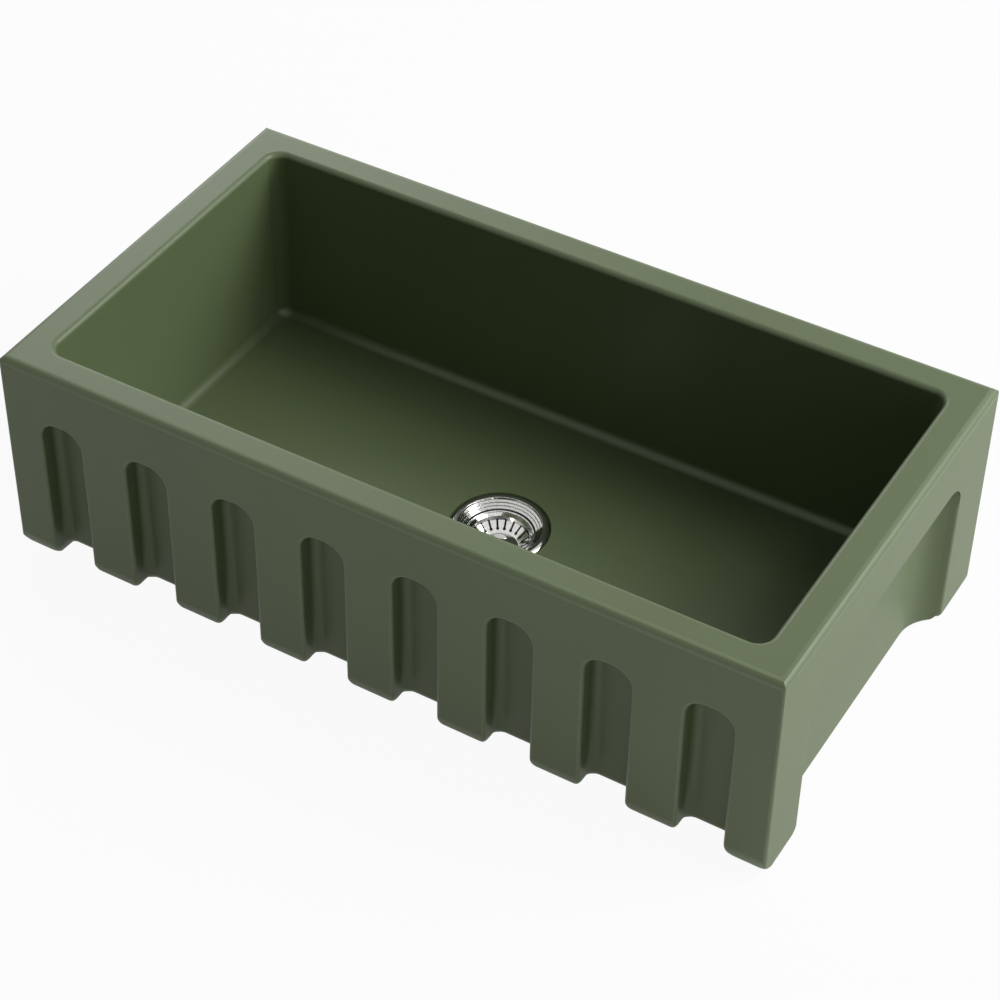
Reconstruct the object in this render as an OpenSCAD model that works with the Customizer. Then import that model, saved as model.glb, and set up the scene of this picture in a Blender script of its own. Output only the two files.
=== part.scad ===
// Farmhouse apron-front kitchen sink with a fluted front and a basket strainer.
// Millimetres, +Z up, -Y to the front. The origin is under the middle of the sink, at its feet.

/* [Sink body] */
// Width of the sink, left to right
sink_w = 838.2; // [760:0.1:1000]
// Depth of the sink, front to back
sink_d = 457.2; // [430:0.1:560]
// Height of the sink, feet to rim
sink_h = 254; // [230:1:300]
// Width of the rim at the left and the right
rim_side_w = 36.5; // [34:0.5:48]
// Width of the rim at the front
rim_front_w = 34.5; // [33:0.5:48]
// Width of the rim at the back
rim_back_w = 36; // [30:0.5:60]
// Height of the bowl floor above the feet
floor_h = 41; // [41:1:56]
// Thickness of the clay round the drain
base_t = 21; // [18:0.5:24]
// Radius of the upright corners inside the bowl
bowl_corner_r = 16; // [14:0.5:30]
// Radius between the bowl's walls and its floor
bowl_floor_r = 13; // [6:0.5:13.5]
// Radius of the rim's inner edge
rim_inner_r = 6; // [2:0.5:8]
// Radius of the rim's outer edge
rim_outer_r = 8.5; // [3:0.5:12]
// Radius of the upright outer corners
outer_corner_r = 3.5; // [2:0.5:8]
// Radius under the front of the corner feet
front_foot_r = 28; // [12:1:32]
// Radius under the back edge
back_foot_r = 12; // [3:1:20]
// Radius under the left and right edges
side_foot_r = 5; // [2:0.5:6]
// Height of the fluted front over the corner feet
apron_lift = 12; // [6:0.5:18]
// Radius under the fluted front
apron_edge_r = 11; // [6:0.5:14]
// Radius under the inner side of a corner foot
foot_inner_r = 14; // [10:1:40]

/* [Front flutes] */
// Width of one flute
flute_w = 47.5; // [42:0.5:56]
// Distance from one flute to the next
flute_pitch = 100.6; // [84:0.1:120]
// Narrowest pillar allowed at each end of the front
end_pillar_min = 36; // [30:1:60]
// Depth of a flute
flute_depth = 22; // [14:0.5:24]
// Height of plain face over the flutes
flute_head = 64; // [40:1:90]
// Radius of a flute's upper corners
flute_top_r = 20; // [12:0.5:20.5]
// Radius between a flute's sides and its back
flute_cove_r = 10; // [4:0.5:13]
// Radius of a flute's outer edges
flute_edge_r = 3.5; // [1.5:0.5:5]

/* [Side recesses] */
// Depth of the recess in each side
recess_depth = 25; // [12:0.5:26]
// Height of plain side over the recess
recess_head = 65; // [45:1:90]
// Width of the side pillar in front of the recess
recess_front_w = 65.6; // [50:0.5:90]
// Width of the side pillar behind the recess
recess_back_w = 67.9; // [50:0.5:90]
// Radius of the cove along the recess's upright edges
recess_cove_r = 44; // [28:1:60]
// Radius of the recess's upper corners
recess_corner_r = 32; // [10:1:45]
// Radius under the recess
recess_foot_r = 6; // [2:0.5:8]
// Radius of the recess's upright outer edges
recess_edge_r = 4; // [1:0.5:6]

/* [Underside] */
// Width of the foot along the front
foot_front_w = 56; // [52:1:70]
// Width of the foot along the back
foot_back_w = 44; // [30:1:60]
// Width of the foot along each side
foot_side_w = 64; // [50:1:80]
// Radius of the underside hollow's corners
under_corner_r = 26; // [14:1:40]
// Radius of the underside hollow's upper edge
under_edge_r = 10; // [3:1:12]

/* [Drain] */
// How far the drain lies behind the middle of the sink
drain_back = 14; // [0:1:40]
// Gap between the strainer's barrel and the clay round it
drain_gap = 3.7; // [3:0.1:5]
// Depth of the seat for the flange
seat_depth = 3; // [2.5:0.1:4]

/* [Strainer body] */
// Outer radius of the threaded barrel
barrel_r = 41.5; // [36:0.1:46]
// How far the flange reaches beyond the barrel
flange_out = 10; // [9:0.1:14]
// Width of the flange's lip
lip_w = 8.1; // [7:0.1:9]
// Width of the round along the lip's outer edge
lip_round = 4.6; // [3.5:0.1:6]
// Fall of the lip from its crown to its inner edge
lip_fall = 0.2; // [0.1:0.05:0.4]
// Height of the lip over the bowl floor
lip_rise = 1.5; // [0.5:0.1:2.5]
// Thickness of the flange gasket
gasket_t = 1.4; // [1:0.1:2]
// Wall of the barrel at the foot of the stepped mouth
mouth_wall = 5; // [4:0.1:5.4]
// Depth of the ledge that carries the basket
ledge_depth = 11.3; // [10:0.1:12.5]
// Width of the ledge
ledge_w = 1.9; // [1.5:0.1:3]
// Width of the slope round the cup's bottom
cup_slope_w = 4.6; // [3:0.1:6]
// Height of the throat over the stopper's seat
throat_h = 4.2; // [3:0.1:5]
// Width of the stopper's seat
stop_seat_w = 3; // [2:0.1:5]
// Thickness of the stopper's seat
stop_seat_t = 1.7; // [1.2:0.1:2]
// Outer radius of the outlet's thread
outlet_r = 23.9; // [23.6:0.1:25]
// Wall of the outlet
outlet_t = 2.5; // [2:0.1:3.5]
// Length of the outlet's thread
outlet_l = 6.6; // [6:0.1:7]

/* [Fasteners under the sink] */
// Thickness of the rubber washer
washer_t = 3; // [2:0.5:4]
// Width of the rubber washer's ring
washer_w = 14.5; // [12:0.5:17]
// Thickness of the fibre washer
fibre_t = 1; // [0.5:0.1:1.5]
// Width of the fibre washer's ring
fibre_w = 13.5; // [11:0.5:16]
// Height of the locknut
nut_h = 7.5; // [6:0.5:8]
// Width of the locknut's ring
nut_w = 11.5; // [8:0.5:14]
// How far each lug stands out of the locknut
lug_out = 6; // [4:0.5:8]
// Width of a lug
lug_w = 12; // [8:0.5:16]
// Number of lugs
lug_count = 8; // [4:1:10]

/* [Basket] */
// Radius of the basket's rolled rim
bead_r = 1.1; // [0.9:0.1:1.3]
// Thickness of the basket's sheet
sheet_t = 0.9; // [0.6:0.1:1]
// Gap between the basket and the cup round it
basket_gap = 0.5; // [0.4:0.1:0.8]
// Width of the sloping shelf inside the rim
shelf_w = 2.6; // [1:0.1:4]
// Fall of that shelf
shelf_h = 2.9; // [1:0.1:4]
// Depth of the foot of the steep wall under the shelf
wall_depth = 17; // [15:0.1:19]
// How far the steep wall runs in
wall_in = 0.8; // [0.2:0.1:2]
// How far the slotted cone runs in
cone_in = 10; // [7:0.1:12]
// Depth of the basket's floor
basket_depth = 25.5; // [24:0.1:25.7]
// Number of slots
slot_count = 21; // [16:1:24]
// Width of a slot
slot_w = 2; // [1.2:0.1:2.4]
// Radius of the round end of a slot
slot_end_r = 1.7; // [1.3:0.1:1.9]
// How far the slots run up the steep wall
slot_rise = 1.2; // [0:0.1:2]
// Height left under the slots
slot_under = 1; // [0.8:0.1:2]

/* [Stopper] */
// Radius of the stem
stem_r = 3; // [2.5:0.1:3.2]
// Radius of the knob
knob_r = 8; // [6.5:0.1:10]
// Depth of the knob's top
knob_depth = 15.5; // [13:0.1:15.8]
// Depth of the dish in the knob's top
knob_dish = 0.9; // [0.4:0.1:1.2]
// Width of the rim round that dish
knob_rim_w = 0.8; // [0.5:0.1:2]
// Height of the knob
knob_h = 7; // [5:0.5:7]
// How far the stopper lifts
stop_travel = 5; // [3:0.1:5.1]
// Radius of the rubber stopper
stopper_r = 20.5; // [19:0.1:20.8]
// Gap between the stopper and the throat round it
throat_gap = 1.5; // [1:0.1:1.8]
// Thickness of the rubber stopper
stopper_t = 2.8; // [2:0.1:2.8]
// Radius of the plate over the stopper
plate_r = 12; // [8:0.5:16]
// Thickness of the plate over the stopper
plate_t = 0.8; // [0.5:0.1:0.8]
// Width of the stem's nut across its flats
stem_nut_w = 10; // [9:0.5:12]
// Thickness of the stem's nut
stem_nut_t = 2; // [1.5:0.1:2]
// Outer radius of the basket's guide bush
bush_r = 6.2; // [5.8:0.1:7]
// Height of the guide bush over the basket's floor
bush_h = 2.6; // [2.4:0.1:2.8]
// Thickness of the grip ring round the stem
grip_t = 1.3; // [1.1:0.1:1.4]
// Outer radius of the grip ring
grip_r = 4.4; // [4:0.1:4.6]
// Thickness of the cross bar
bar_t = 2.4; // [2:0.1:2.4]
// Width of an arm of the cross bar
arm_w = 3.2; // [2.4:0.1:4]
// Radius of the cross bar's hub
hub_r = 6; // [5:0.5:7]
// Width of the cross bar's ring
bar_ring_w = 1.8; // [1.2:0.1:2.2]

/* [Hidden] */
$fn = 96;
over = 2;
slip = 0.3;
fit = 0.08;
thread_fit = 0.2;
seat_gap = 0.7;
outlet_lip = 0.4;
knob_cap_share = 0.45;
knob_neck_share = 0.5;
step_count = 3;
arm_count = 4;
glaze = [0.36, 0.41, 0.29];
steel = [0.78, 0.79, 0.78];
dull_steel = [0.62, 0.63, 0.63];
rubber = [0.09, 0.09, 0.09];
fibre = [0.55, 0.42, 0.28];

face_y = -sink_d / 2;
side_x = sink_w / 2;
bowl_w = sink_w - 2 * rim_side_w;
bowl_d = sink_d - rim_front_w - rim_back_w;
bowl_h = sink_h - floor_h;
bowl_y = (rim_front_w - rim_back_w) / 2;
under_w = sink_w - 2 * foot_side_w;
under_d = sink_d - foot_front_w - foot_back_w;
under_y = (foot_front_w - foot_back_w) / 2;
under_h = floor_h - base_t;

// As many flutes as fit between the end pillars
flute_room = sink_w - 2 * end_pillar_min - flute_w;
flute_count = 1 + floor(flute_room / flute_pitch);
flute_top = sink_h - flute_head;
flute_xs = [for (i = [0:flute_count - 1]) (i - (flute_count - 1) / 2) * flute_pitch];
apron_w = (flute_count - 1) * flute_pitch + flute_w;

recess_top = sink_h - recess_head;
recess_from = face_y + recess_front_w;
recess_to = -face_y - recess_back_w;
// The cove's centre lies outside the side face, so the cove meets that face at an angle
cove_reach = sqrt(pow(recess_cove_r, 2) - pow(recess_cove_r - recess_depth, 2));

// Radii in the strainer go out and in from its barrel
drain_hole_r = barrel_r + drain_gap;
flange_r = barrel_r + flange_out;
lip_r = flange_r - lip_w;
mouth_r = barrel_r - mouth_wall;
cup_r = mouth_r - ledge_w;
cup_bottom_r = cup_r - cup_slope_w;
washer_r = barrel_r + washer_w;
fibre_r = barrel_r + fibre_w;
nut_r = barrel_r + nut_w;

// Heights in the strainer are measured from the bowl floor, downwards below zero
flange_z = -seat_depth + gasket_t;
step_w = (lip_r - mouth_r) / step_count;
step_h = (ledge_depth + flange_z) / (step_count + 1);
seat_r = flange_r + seat_gap;
throat_r = stopper_r + throat_gap;
stop_hole_r = stopper_r - stop_seat_w;
outlet_bore_r = outlet_r - outlet_t;
// The basket hangs on the ledge by its rim, and the lifted stopper ends just under its floor
bead_z = -ledge_depth + slip + bead_r;
rim_in_r = cup_r - basket_gap - sheet_t;
shelf_r = rim_in_r - shelf_w;
shelf_z = bead_z - shelf_h;
cone_top_r = shelf_r - wall_in;
cone_top_z = -wall_depth;
cone_foot_r = cone_top_r - cone_in;
basket_z = -basket_depth;
plate_z = basket_z - sheet_t - slip - stop_travel - plate_t;
stopper_z = plate_z - stopper_t;
seat_z = stopper_z - slip;
cup_z = seat_z + throat_h;
stem_nut_z = stopper_z - stem_nut_t;
bar_z = stem_nut_z - slip - bar_t;
outlet_z = bar_z - outlet_lip;
barrel_z = outlet_z + outlet_l;
stem_top = -knob_depth - knob_h / 2;
grip_z = basket_z + (bush_h - grip_t) / 2;
washer_z = -base_t - washer_t;
fibre_z = washer_z - fibre_t;
nut_z = fibre_z - nut_h;
slot_top_z = cone_top_z + slot_rise;
slot_end_z = basket_z + slot_under + slot_end_r;

// A flat-bottomed section with rounded lower corners, flared at its top edge
module tray_section(w, h, edge_r, flare_r) {
    translate([-w / 2, edge_r]) square([w, h - edge_r + over]);
    translate([-w / 2 + edge_r, 0]) square([w - 2 * edge_r, h]);
    for (s = [-1, 1]) {
        translate([s * (w / 2 - edge_r), edge_r]) circle(edge_r);
        if (flare_r > 0) translate([s * w / 2, h]) scale([s, -1]) edge_waste(flare_r);
    }
}

// Half of that section, from the axis of an upright corner outwards
module tray_corner_section(r, h, edge_r, flare_r) {
    translate([0, edge_r]) square([r, h - edge_r + over]);
    square([r - edge_r, h]);
    intersection() {
        translate([r - edge_r, edge_r]) circle(edge_r);
        square([r, h]);
    }
    if (flare_r > 0) translate([r, h]) mirror([0, 1]) edge_waste(flare_r);
}

// What a round of radius r takes off a square edge: x runs out from the wall, y runs in from the face
module edge_waste(r) {
    difference() {
        translate([0, -over]) square([r, r + over]);
        translate([r, r]) circle(r);
    }
}

// A hollow with rounded corners and a rounded floor, open at the top
module tray(w, d, h, corner_r, edge_r, flare_r) {
    rotate([90, 0, 90]) linear_extrude(w - 2 * corner_r, center = true) tray_section(d, h, edge_r, flare_r);
    rotate([90, 0, 0]) linear_extrude(d - 2 * corner_r, center = true) tray_section(w, h, edge_r, flare_r);
    for (x = [-1, 1], y = [-1, 1])
        translate([x * (w / 2 - corner_r), y * (d / 2 - corner_r), 0])
            rotate_extrude() tray_corner_section(corner_r, h, edge_r, flare_r);
}

// A rectangle whose four corners have their own radii: lower left, lower right, upper left, upper right
module soft_rectangle(x0, x1, y0, y1, low_left, low_right, top_left, top_right) {
    corners = [[x0, y0, 1, 1, low_left], [x1, y0, -1, 1, low_right],
               [x0, y1, 1, -1, top_left], [x1, y1, -1, -1, top_right]];
    difference() {
        translate([x0, y0]) square([x1 - x0, y1 - y0]);
        for (c = corners) translate([c[0], c[1]]) scale([c[2], c[3]]) difference() {
            translate([-over, -over]) square(c[4] + over);
            translate([c[4], c[4]]) circle(c[4]);
        }
    }
}

// The outer block: the plan, the front view and the side view, each with its own corner radii
module sink_block() {
    intersection() {
        linear_extrude(sink_h) soft_rectangle(-side_x, side_x, face_y, -face_y,
            outer_corner_r, outer_corner_r, outer_corner_r, outer_corner_r);
        rotate([90, 0, 0]) linear_extrude(sink_d + over, center = true)
            soft_rectangle(-side_x, side_x, 0, sink_h, side_foot_r, side_foot_r, rim_outer_r, rim_outer_r);
        rotate([90, 0, 90]) linear_extrude(sink_w + over, center = true)
            soft_rectangle(face_y, -face_y, 0, sink_h, front_foot_r, back_foot_r, rim_outer_r, rim_outer_r);
    }
}

// Plan of one flute: x across it, y out from its back
module flute_plan() {
    translate([-flute_w / 2, flute_cove_r]) square([flute_w, flute_depth - flute_cove_r + over]);
    translate([-flute_w / 2 + flute_cove_r, 0]) square([flute_w - 2 * flute_cove_r, flute_depth]);
    for (s = [-1, 1]) translate([s * (flute_w / 2 - flute_cove_r), flute_cove_r]) circle(flute_cove_r);
}

// One flute: an upright channel with an arched, coved top, whose back turns under the sink
module flute_hollow() {
    back_y = face_y + flute_depth;
    turn_z = apron_lift + apron_edge_r;
    intersection() {
        translate([0, back_y, turn_z]) mirror([0, 1, 0]) linear_extrude(flute_top - turn_z) flute_plan();
        translate([0, back_y, 0]) rotate([90, 0, 0]) linear_extrude(flute_depth + over)
            soft_rectangle(-flute_w / 2, flute_w / 2, -flute_top, flute_top, 0, 0, flute_top_r, flute_top_r);
        rotate([90, 0, 90]) linear_extrude(flute_w, center = true)
            soft_rectangle(face_y - flute_cove_r - over, back_y, -flute_top, flute_top, 0, 0, 0, flute_cove_r);
    }
    translate([0, back_y + apron_edge_r, turn_z])
        rotate([0, 0, -90]) rotate([-90, 0, 0])
            rotate_extrude(angle = 90) translate([apron_edge_r, 0]) rotate(-90) flute_plan();
}

// The round along a flute's outer edges: an edge on a corner foot turns under with the foot
module flute_edge(on_foot) {
    half_w = flute_w / 2;
    for (s = [0, 1]) mirror([s, 0, 0]) {
        turn_r = on_foot[s] ? front_foot_r : apron_edge_r;
        turn_z = turn_r + (on_foot[s] ? 0 : apron_lift);
        translate([half_w, face_y, turn_z])
            linear_extrude(flute_top - flute_top_r - turn_z) edge_waste(flute_edge_r);
        translate([half_w - flute_top_r, face_y, flute_top - flute_top_r])
            rotate([-90, -90, 0]) rotate_extrude(angle = 90)
                translate([flute_top_r, 0]) edge_waste(flute_edge_r);
        translate([0, face_y + turn_r, turn_z])
            rotate([0, 0, -90]) rotate([-90, 0, 0]) rotate_extrude(angle = 90)
                translate([turn_r, half_w]) rotate(90) edge_waste(flute_edge_r);
        if (!on_foot[s]) translate([half_w, face_y + turn_r + flute_depth, apron_lift])
            rotate([90, 0, 0]) linear_extrude(flute_depth) edge_waste(flute_edge_r);
    }
    translate([0, face_y, flute_top]) rotate([0, -90, 0])
        linear_extrude(flute_w - 2 * flute_top_r, center = true) edge_waste(flute_edge_r);
}

// What lifts the fluted front off the ground between the two corner feet
module apron_gap() {
    turn_w = sqrt(pow(foot_inner_r, 2) - pow(foot_inner_r - apron_lift, 2));
    cut_d = foot_front_w + 2 * over;
    translate([0, face_y + cut_d - over, 0]) rotate([90, 0, 0]) linear_extrude(cut_d) difference() {
        translate([-apron_w / 2 - turn_w, -over]) square([apron_w + 2 * turn_w, apron_lift + over]);
        for (s = [-1, 1]) translate([s * (apron_w / 2 + turn_w), foot_inner_r]) circle(foot_inner_r);
    }
    translate([0, face_y, apron_lift]) rotate([90, 0, 90])
        linear_extrude(apron_w, center = true) rotate(90) mirror([0, 1]) edge_waste(apron_edge_r);
}

// What rounds the edge where a cove meets the side face; the cove's axis is at the origin
module cove_edge_waste() {
    face_x = recess_depth - recess_cove_r;
    edge_x = face_x - recess_edge_r;
    edge_y = sqrt(pow(recess_cove_r + recess_edge_r, 2) - pow(edge_x, 2));
    touch = recess_cove_r / (recess_cove_r + recess_edge_r);
    difference() {
        polygon([[edge_x * touch, edge_y * touch], [face_x, edge_y], [face_x + over, edge_y], [face_x + over, 0]]);
        translate([edge_x, edge_y]) circle(recess_edge_r);
    }
}

// The recess in the right side: x runs into the side, coved along its upright edges
module side_recess() {
    centre_x = side_x - recess_depth + recess_cove_r;
    intersection() {
        translate([0, 0, -over]) linear_extrude(recess_top + over) {
            translate([side_x - recess_depth, recess_from + cove_reach])
                square([recess_depth + over, recess_to - recess_from - 2 * cove_reach]);
            for (y = [recess_from + cove_reach, recess_to - cove_reach]) intersection() {
                translate([centre_x, y]) circle(recess_cove_r);
                translate([side_x - recess_depth, recess_from - over])
                    square([recess_depth + over, recess_to - recess_from + 2 * over]);
            }
        }
        rotate([90, 0, 90]) linear_extrude(side_x + over)
            soft_rectangle(recess_from - over, recess_to + over, -recess_top, recess_top,
                0, 0, recess_corner_r, recess_corner_r);
    }
    straight = recess_to - recess_from - 2 * cove_reach;
    for (s = [-1, 1])
        translate([centre_x, (recess_from + recess_to + s * straight) / 2, -over])
            linear_extrude(recess_top - recess_corner_r + over) scale([1, s]) cove_edge_waste();
    translate([side_x - recess_depth, (recess_from + recess_to) / 2, 0]) rotate([90, 0, 0])
        linear_extrude(straight, center = true) mirror([1, 0]) edge_waste(recess_foot_r);
    for (y = [recess_from + cove_reach, recess_to - cove_reach]) translate([centre_x, y, 0])
        rotate_extrude() translate([recess_cove_r, 0]) edge_waste(recess_foot_r);
}

module sink_body() {
    color(glaze) difference() {
        sink_block();
        translate([0, bowl_y, floor_h])
            tray(bowl_w, bowl_d, bowl_h, bowl_corner_r, bowl_floor_r, rim_inner_r);
        translate([0, under_y, under_h]) mirror([0, 0, 1])
            tray(under_w, under_d, under_h, under_corner_r, under_edge_r, 0);
        translate([0, drain_back, 0]) cylinder(h = floor_h + over, r = drain_hole_r);
        translate([0, drain_back, floor_h - seat_depth]) cylinder(h = seat_depth + over, r = seat_r);
        for (i = [0:flute_count - 1]) translate([flute_xs[i], 0, 0]) {
            flute_hollow();
            flute_edge([i == flute_count - 1, i == 0]);
        }
        apron_gap();
        for (s = [0, 1]) mirror([s, 0, 0]) side_recess();
    }
}

// Places a piece of the strainer: its zero is the bowl floor at the drain
module at_drain() {
    translate([0, drain_back, floor_h]) children();
}

module ring(outer_r, inner_r, h) {
    difference() {
        cylinder(h = h, r = outer_r);
        translate([0, 0, -over]) cylinder(h = h + 2 * over, r = inner_r);
    }
}

// The round of the flange's lip runs from its crown down to its outer edge
lip_crown_r = flange_r - lip_round;
lip_edge_z = flange_z / 2;
lip_sag = lip_rise - lip_edge_z;
lip_bow = (pow(lip_round, 2) + pow(lip_sag, 2)) / (2 * lip_sag);

module lip_section() {
    intersection() {
        translate([lip_crown_r, lip_rise - lip_bow]) circle(lip_bow);
        translate([lip_crown_r, flange_z]) square([lip_round, lip_rise - flange_z + over]);
    }
}

// Section of the strainer's solid wall: out from the axis, up from the outlet
module strainer_section() {
    steps = [for (i = [0:step_count - 1]) each [
        [lip_r - i * step_w, flange_z - i * step_h],
        [lip_r - (i + 1) * step_w, flange_z - (i + 1 / 2) * step_h]]];
    mouth = concat([[lip_r, lip_rise - lip_fall]], steps, [[mouth_r, -ledge_depth]]);
    cup = [[cup_r, -ledge_depth], [cup_r, cup_z + (cup_r - cup_bottom_r) / 2], [cup_bottom_r, cup_z],
           [throat_r, cup_z - stop_seat_t / 2], [throat_r, seat_z]];
    outlet = [[stop_hole_r, seat_z], [stop_hole_r, seat_z - stop_seat_t],
              [outlet_bore_r, seat_z - stop_seat_t], [outlet_bore_r, outlet_z],
              [outlet_r, outlet_z], [outlet_r, barrel_z]];
    barrel = [[barrel_r - 2 * slip, barrel_z], [barrel_r, barrel_z + 2 * slip],
              [barrel_r, -seat_depth - step_h], [drain_hole_r - slip, -seat_depth - step_h / 2],
              [drain_hole_r - slip, flange_z]];
    flange = [[flange_r, flange_z], [flange_r, lip_edge_z], [lip_crown_r, lip_rise]];
    polygon(concat(mouth, cup, outlet, barrel, flange));
    lip_section();
}

module strainer_body() {
    color(steel) at_drain() rotate_extrude() strainer_section();
}

module flange_gasket() {
    color(rubber) at_drain() translate([0, 0, -seat_depth]) ring(flange_r - slip, drain_hole_r + slip, gasket_t);
}

module under_washer() {
    color(rubber) at_drain() translate([0, 0, washer_z]) ring(washer_r, barrel_r + thread_fit, washer_t);
}

module fibre_washer() {
    color(fibre) at_drain() translate([0, 0, fibre_z]) ring(fibre_r, barrel_r + thread_fit, fibre_t);
}

// A round nut with square lugs to turn it by
module locknut() {
    lug_in = nut_r - barrel_r - thread_fit;
    color(dull_steel) at_drain() translate([0, 0, nut_z]) linear_extrude(nut_h) difference() {
        union() {
            circle(nut_r);
            for (i = [0:lug_count - 1]) rotate((i + 1 / 2) * 360 / lug_count)
                translate([nut_r - lug_in / 2, -lug_w / 2]) square([lug_out + lug_in / 2, lug_w]);
        }
        circle(barrel_r + thread_fit);
    }
}

// A ring in the outlet with crossed arms, whose hub guides the stem's tip
module cross_bar() {
    ring_r = outlet_bore_r - fit;
    arm_l = 2 * ring_r - bar_ring_w;
    color(dull_steel) at_drain() translate([0, 0, bar_z]) linear_extrude(bar_t) difference() {
        union() {
            difference() {
                circle(ring_r);
                circle(ring_r - bar_ring_w);
            }
            circle(hub_r);
            for (i = [0:arm_count / 2 - 1]) rotate((i + 1 / 2) * 360 / arm_count)
                translate([-arm_l / 2, -arm_w / 2]) square([arm_l, arm_w]);
        }
        circle(stem_r + slip);
    }
}

// Section of the pressed basket: the inner outline down, the outer outline back up
module basket_section() {
    inner = [[rim_in_r, bead_z], [shelf_r, shelf_z], [cone_top_r, cone_top_z],
             [cone_foot_r, basket_z], [0, basket_z]];
    outer = [[0, basket_z - sheet_t], [cone_foot_r + sheet_t / 3, basket_z - sheet_t],
             [cone_top_r + sheet_t, cone_top_z - sheet_t / 2], [shelf_r + sheet_t, shelf_z - sheet_t / 2],
             [rim_in_r + 4 / 3 * sheet_t, bead_z]];
    polygon(concat(inner, outer));
    translate([cup_r, bead_z]) circle(bead_r, $fn = 32);
}

module basket_cup() {
    cone_h = cone_top_z - basket_z;
    cone_lean = atan(cone_in / cone_h);
    slot_end_in = cone_foot_r + cone_in * (slot_end_z - basket_z) / cone_h;
    slot_l = shelf_r + sheet_t - slot_end_in;
    color(steel) at_drain() difference() {
        rotate_extrude() basket_section();
        for (i = [0:slot_count - 1]) rotate(90 + i * 360 / slot_count) {
            translate([slot_end_in, -slot_w / 2, slot_end_z]) cube([slot_l, slot_w, slot_top_z - slot_end_z]);
            translate([slot_end_in, 0, slot_end_z]) rotate([0, 90 + cone_lean, 0])
                translate([0, 0, -2 * sheet_t]) cylinder(h = 4 * sheet_t, r = slot_end_r, $fn = 24);
        }
        translate([0, 0, basket_z - sheet_t - over]) cylinder(h = sheet_t + 2 * over, r = stem_r + 2 * slip);
    }
}

// The bush on the basket's floor, with a groove for the grip ring
module guide_bush() {
    color(dull_steel) at_drain() difference() {
        translate([0, 0, basket_z]) cylinder(h = bush_h, r = bush_r);
        translate([0, 0, basket_z - over]) cylinder(h = bush_h + 2 * over, r = stem_r + fit);
        translate([0, 0, grip_z - fit]) cylinder(h = grip_t + 2 * fit, r = grip_r + fit);
    }
}

module grip_ring() {
    color(rubber) at_drain() translate([0, 0, grip_z]) ring(grip_r, stem_r + fit, grip_t);
}

module stem() {
    color(steel) at_drain() translate([0, 0, bar_z]) cylinder(h = stem_top - bar_z, r = stem_r);
}

// A cap with a shallow dish for the finger over a narrower neck, with a blind hole for the stem
module knob() {
    cap_h = knob_h * knob_cap_share;
    dish_r = knob_r - knob_rim_w;
    bowl_r = (pow(dish_r, 2) + pow(knob_dish, 2)) / (2 * knob_dish);
    color(steel) at_drain() translate([0, 0, -knob_depth - knob_h]) difference() {
        union() {
            translate([0, 0, knob_h - cap_h]) cylinder(h = cap_h, r = knob_r);
            cylinder(h = knob_h - cap_h / 2, r = knob_r * knob_neck_share);
        }
        translate([0, 0, knob_h - knob_dish + bowl_r]) sphere(bowl_r);
        translate([0, 0, -over]) cylinder(h = knob_h / 2 + over + fit, r = stem_r + fit);
    }
}

module stopper_plate() {
    color(steel) at_drain() translate([0, 0, plate_z]) ring(plate_r, stem_r + fit, plate_t);
}

module stopper_disc() {
    color(rubber) at_drain() translate([0, 0, stopper_z]) ring(stopper_r, stem_r + fit, stopper_t);
}

module stem_nut() {
    color(steel) at_drain() translate([0, 0, stem_nut_z]) difference() {
        cylinder(h = stem_nut_t, r = stem_nut_w / sqrt(3), $fn = 6);
        translate([0, 0, -over]) cylinder(h = stem_nut_t + 2 * over, r = stem_r + fit);
    }
}

sink_body();
strainer_body();
flange_gasket();
under_washer();
fibre_washer();
locknut();
cross_bar();
basket_cup();
guide_bush();
grip_ring();
stem();
knob();
stopper_plate();
stopper_disc();
stem_nut();
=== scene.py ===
"""A fluted farmhouse sink in satin green glaze, with its basket strainer and its stopper.

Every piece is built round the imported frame. Lengths are in metres, and +Z is up.
"""

import math

import bmesh
import bpy
from bpy.props import FloatProperty, FloatVectorProperty, IntProperty, PointerProperty
from mathutils import Matrix, Vector


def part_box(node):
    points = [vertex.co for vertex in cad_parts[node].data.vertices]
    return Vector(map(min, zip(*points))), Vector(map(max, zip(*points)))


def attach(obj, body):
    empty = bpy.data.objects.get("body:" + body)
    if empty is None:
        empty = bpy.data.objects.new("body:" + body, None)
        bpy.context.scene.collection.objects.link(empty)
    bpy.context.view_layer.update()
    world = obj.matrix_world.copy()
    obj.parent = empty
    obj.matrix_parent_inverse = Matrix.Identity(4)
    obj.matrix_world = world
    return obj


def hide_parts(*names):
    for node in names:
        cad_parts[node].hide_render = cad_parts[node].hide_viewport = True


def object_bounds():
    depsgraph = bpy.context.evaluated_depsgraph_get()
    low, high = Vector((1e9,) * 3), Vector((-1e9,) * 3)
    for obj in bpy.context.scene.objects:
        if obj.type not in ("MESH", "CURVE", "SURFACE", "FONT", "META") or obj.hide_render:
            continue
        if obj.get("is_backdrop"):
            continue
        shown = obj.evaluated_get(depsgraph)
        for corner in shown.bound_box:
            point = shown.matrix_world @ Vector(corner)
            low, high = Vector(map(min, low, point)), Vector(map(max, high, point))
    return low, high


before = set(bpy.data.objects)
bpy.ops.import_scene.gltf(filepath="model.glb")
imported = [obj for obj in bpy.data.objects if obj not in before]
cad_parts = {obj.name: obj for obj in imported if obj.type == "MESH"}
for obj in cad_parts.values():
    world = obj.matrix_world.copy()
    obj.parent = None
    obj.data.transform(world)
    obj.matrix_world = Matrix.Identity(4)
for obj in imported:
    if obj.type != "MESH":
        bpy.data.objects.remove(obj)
CAD_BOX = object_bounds()

bl_info = {
    "name": "Fluted farmhouse sink",
    "version": (1, 0, 0),
    "blender": (4, 5, 0),
    "location": "3D View > Sidebar > Sink",
    "description": "Builds a glazed sink with its strainer, basket and stopper",
    "category": "Add Mesh",
}

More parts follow.
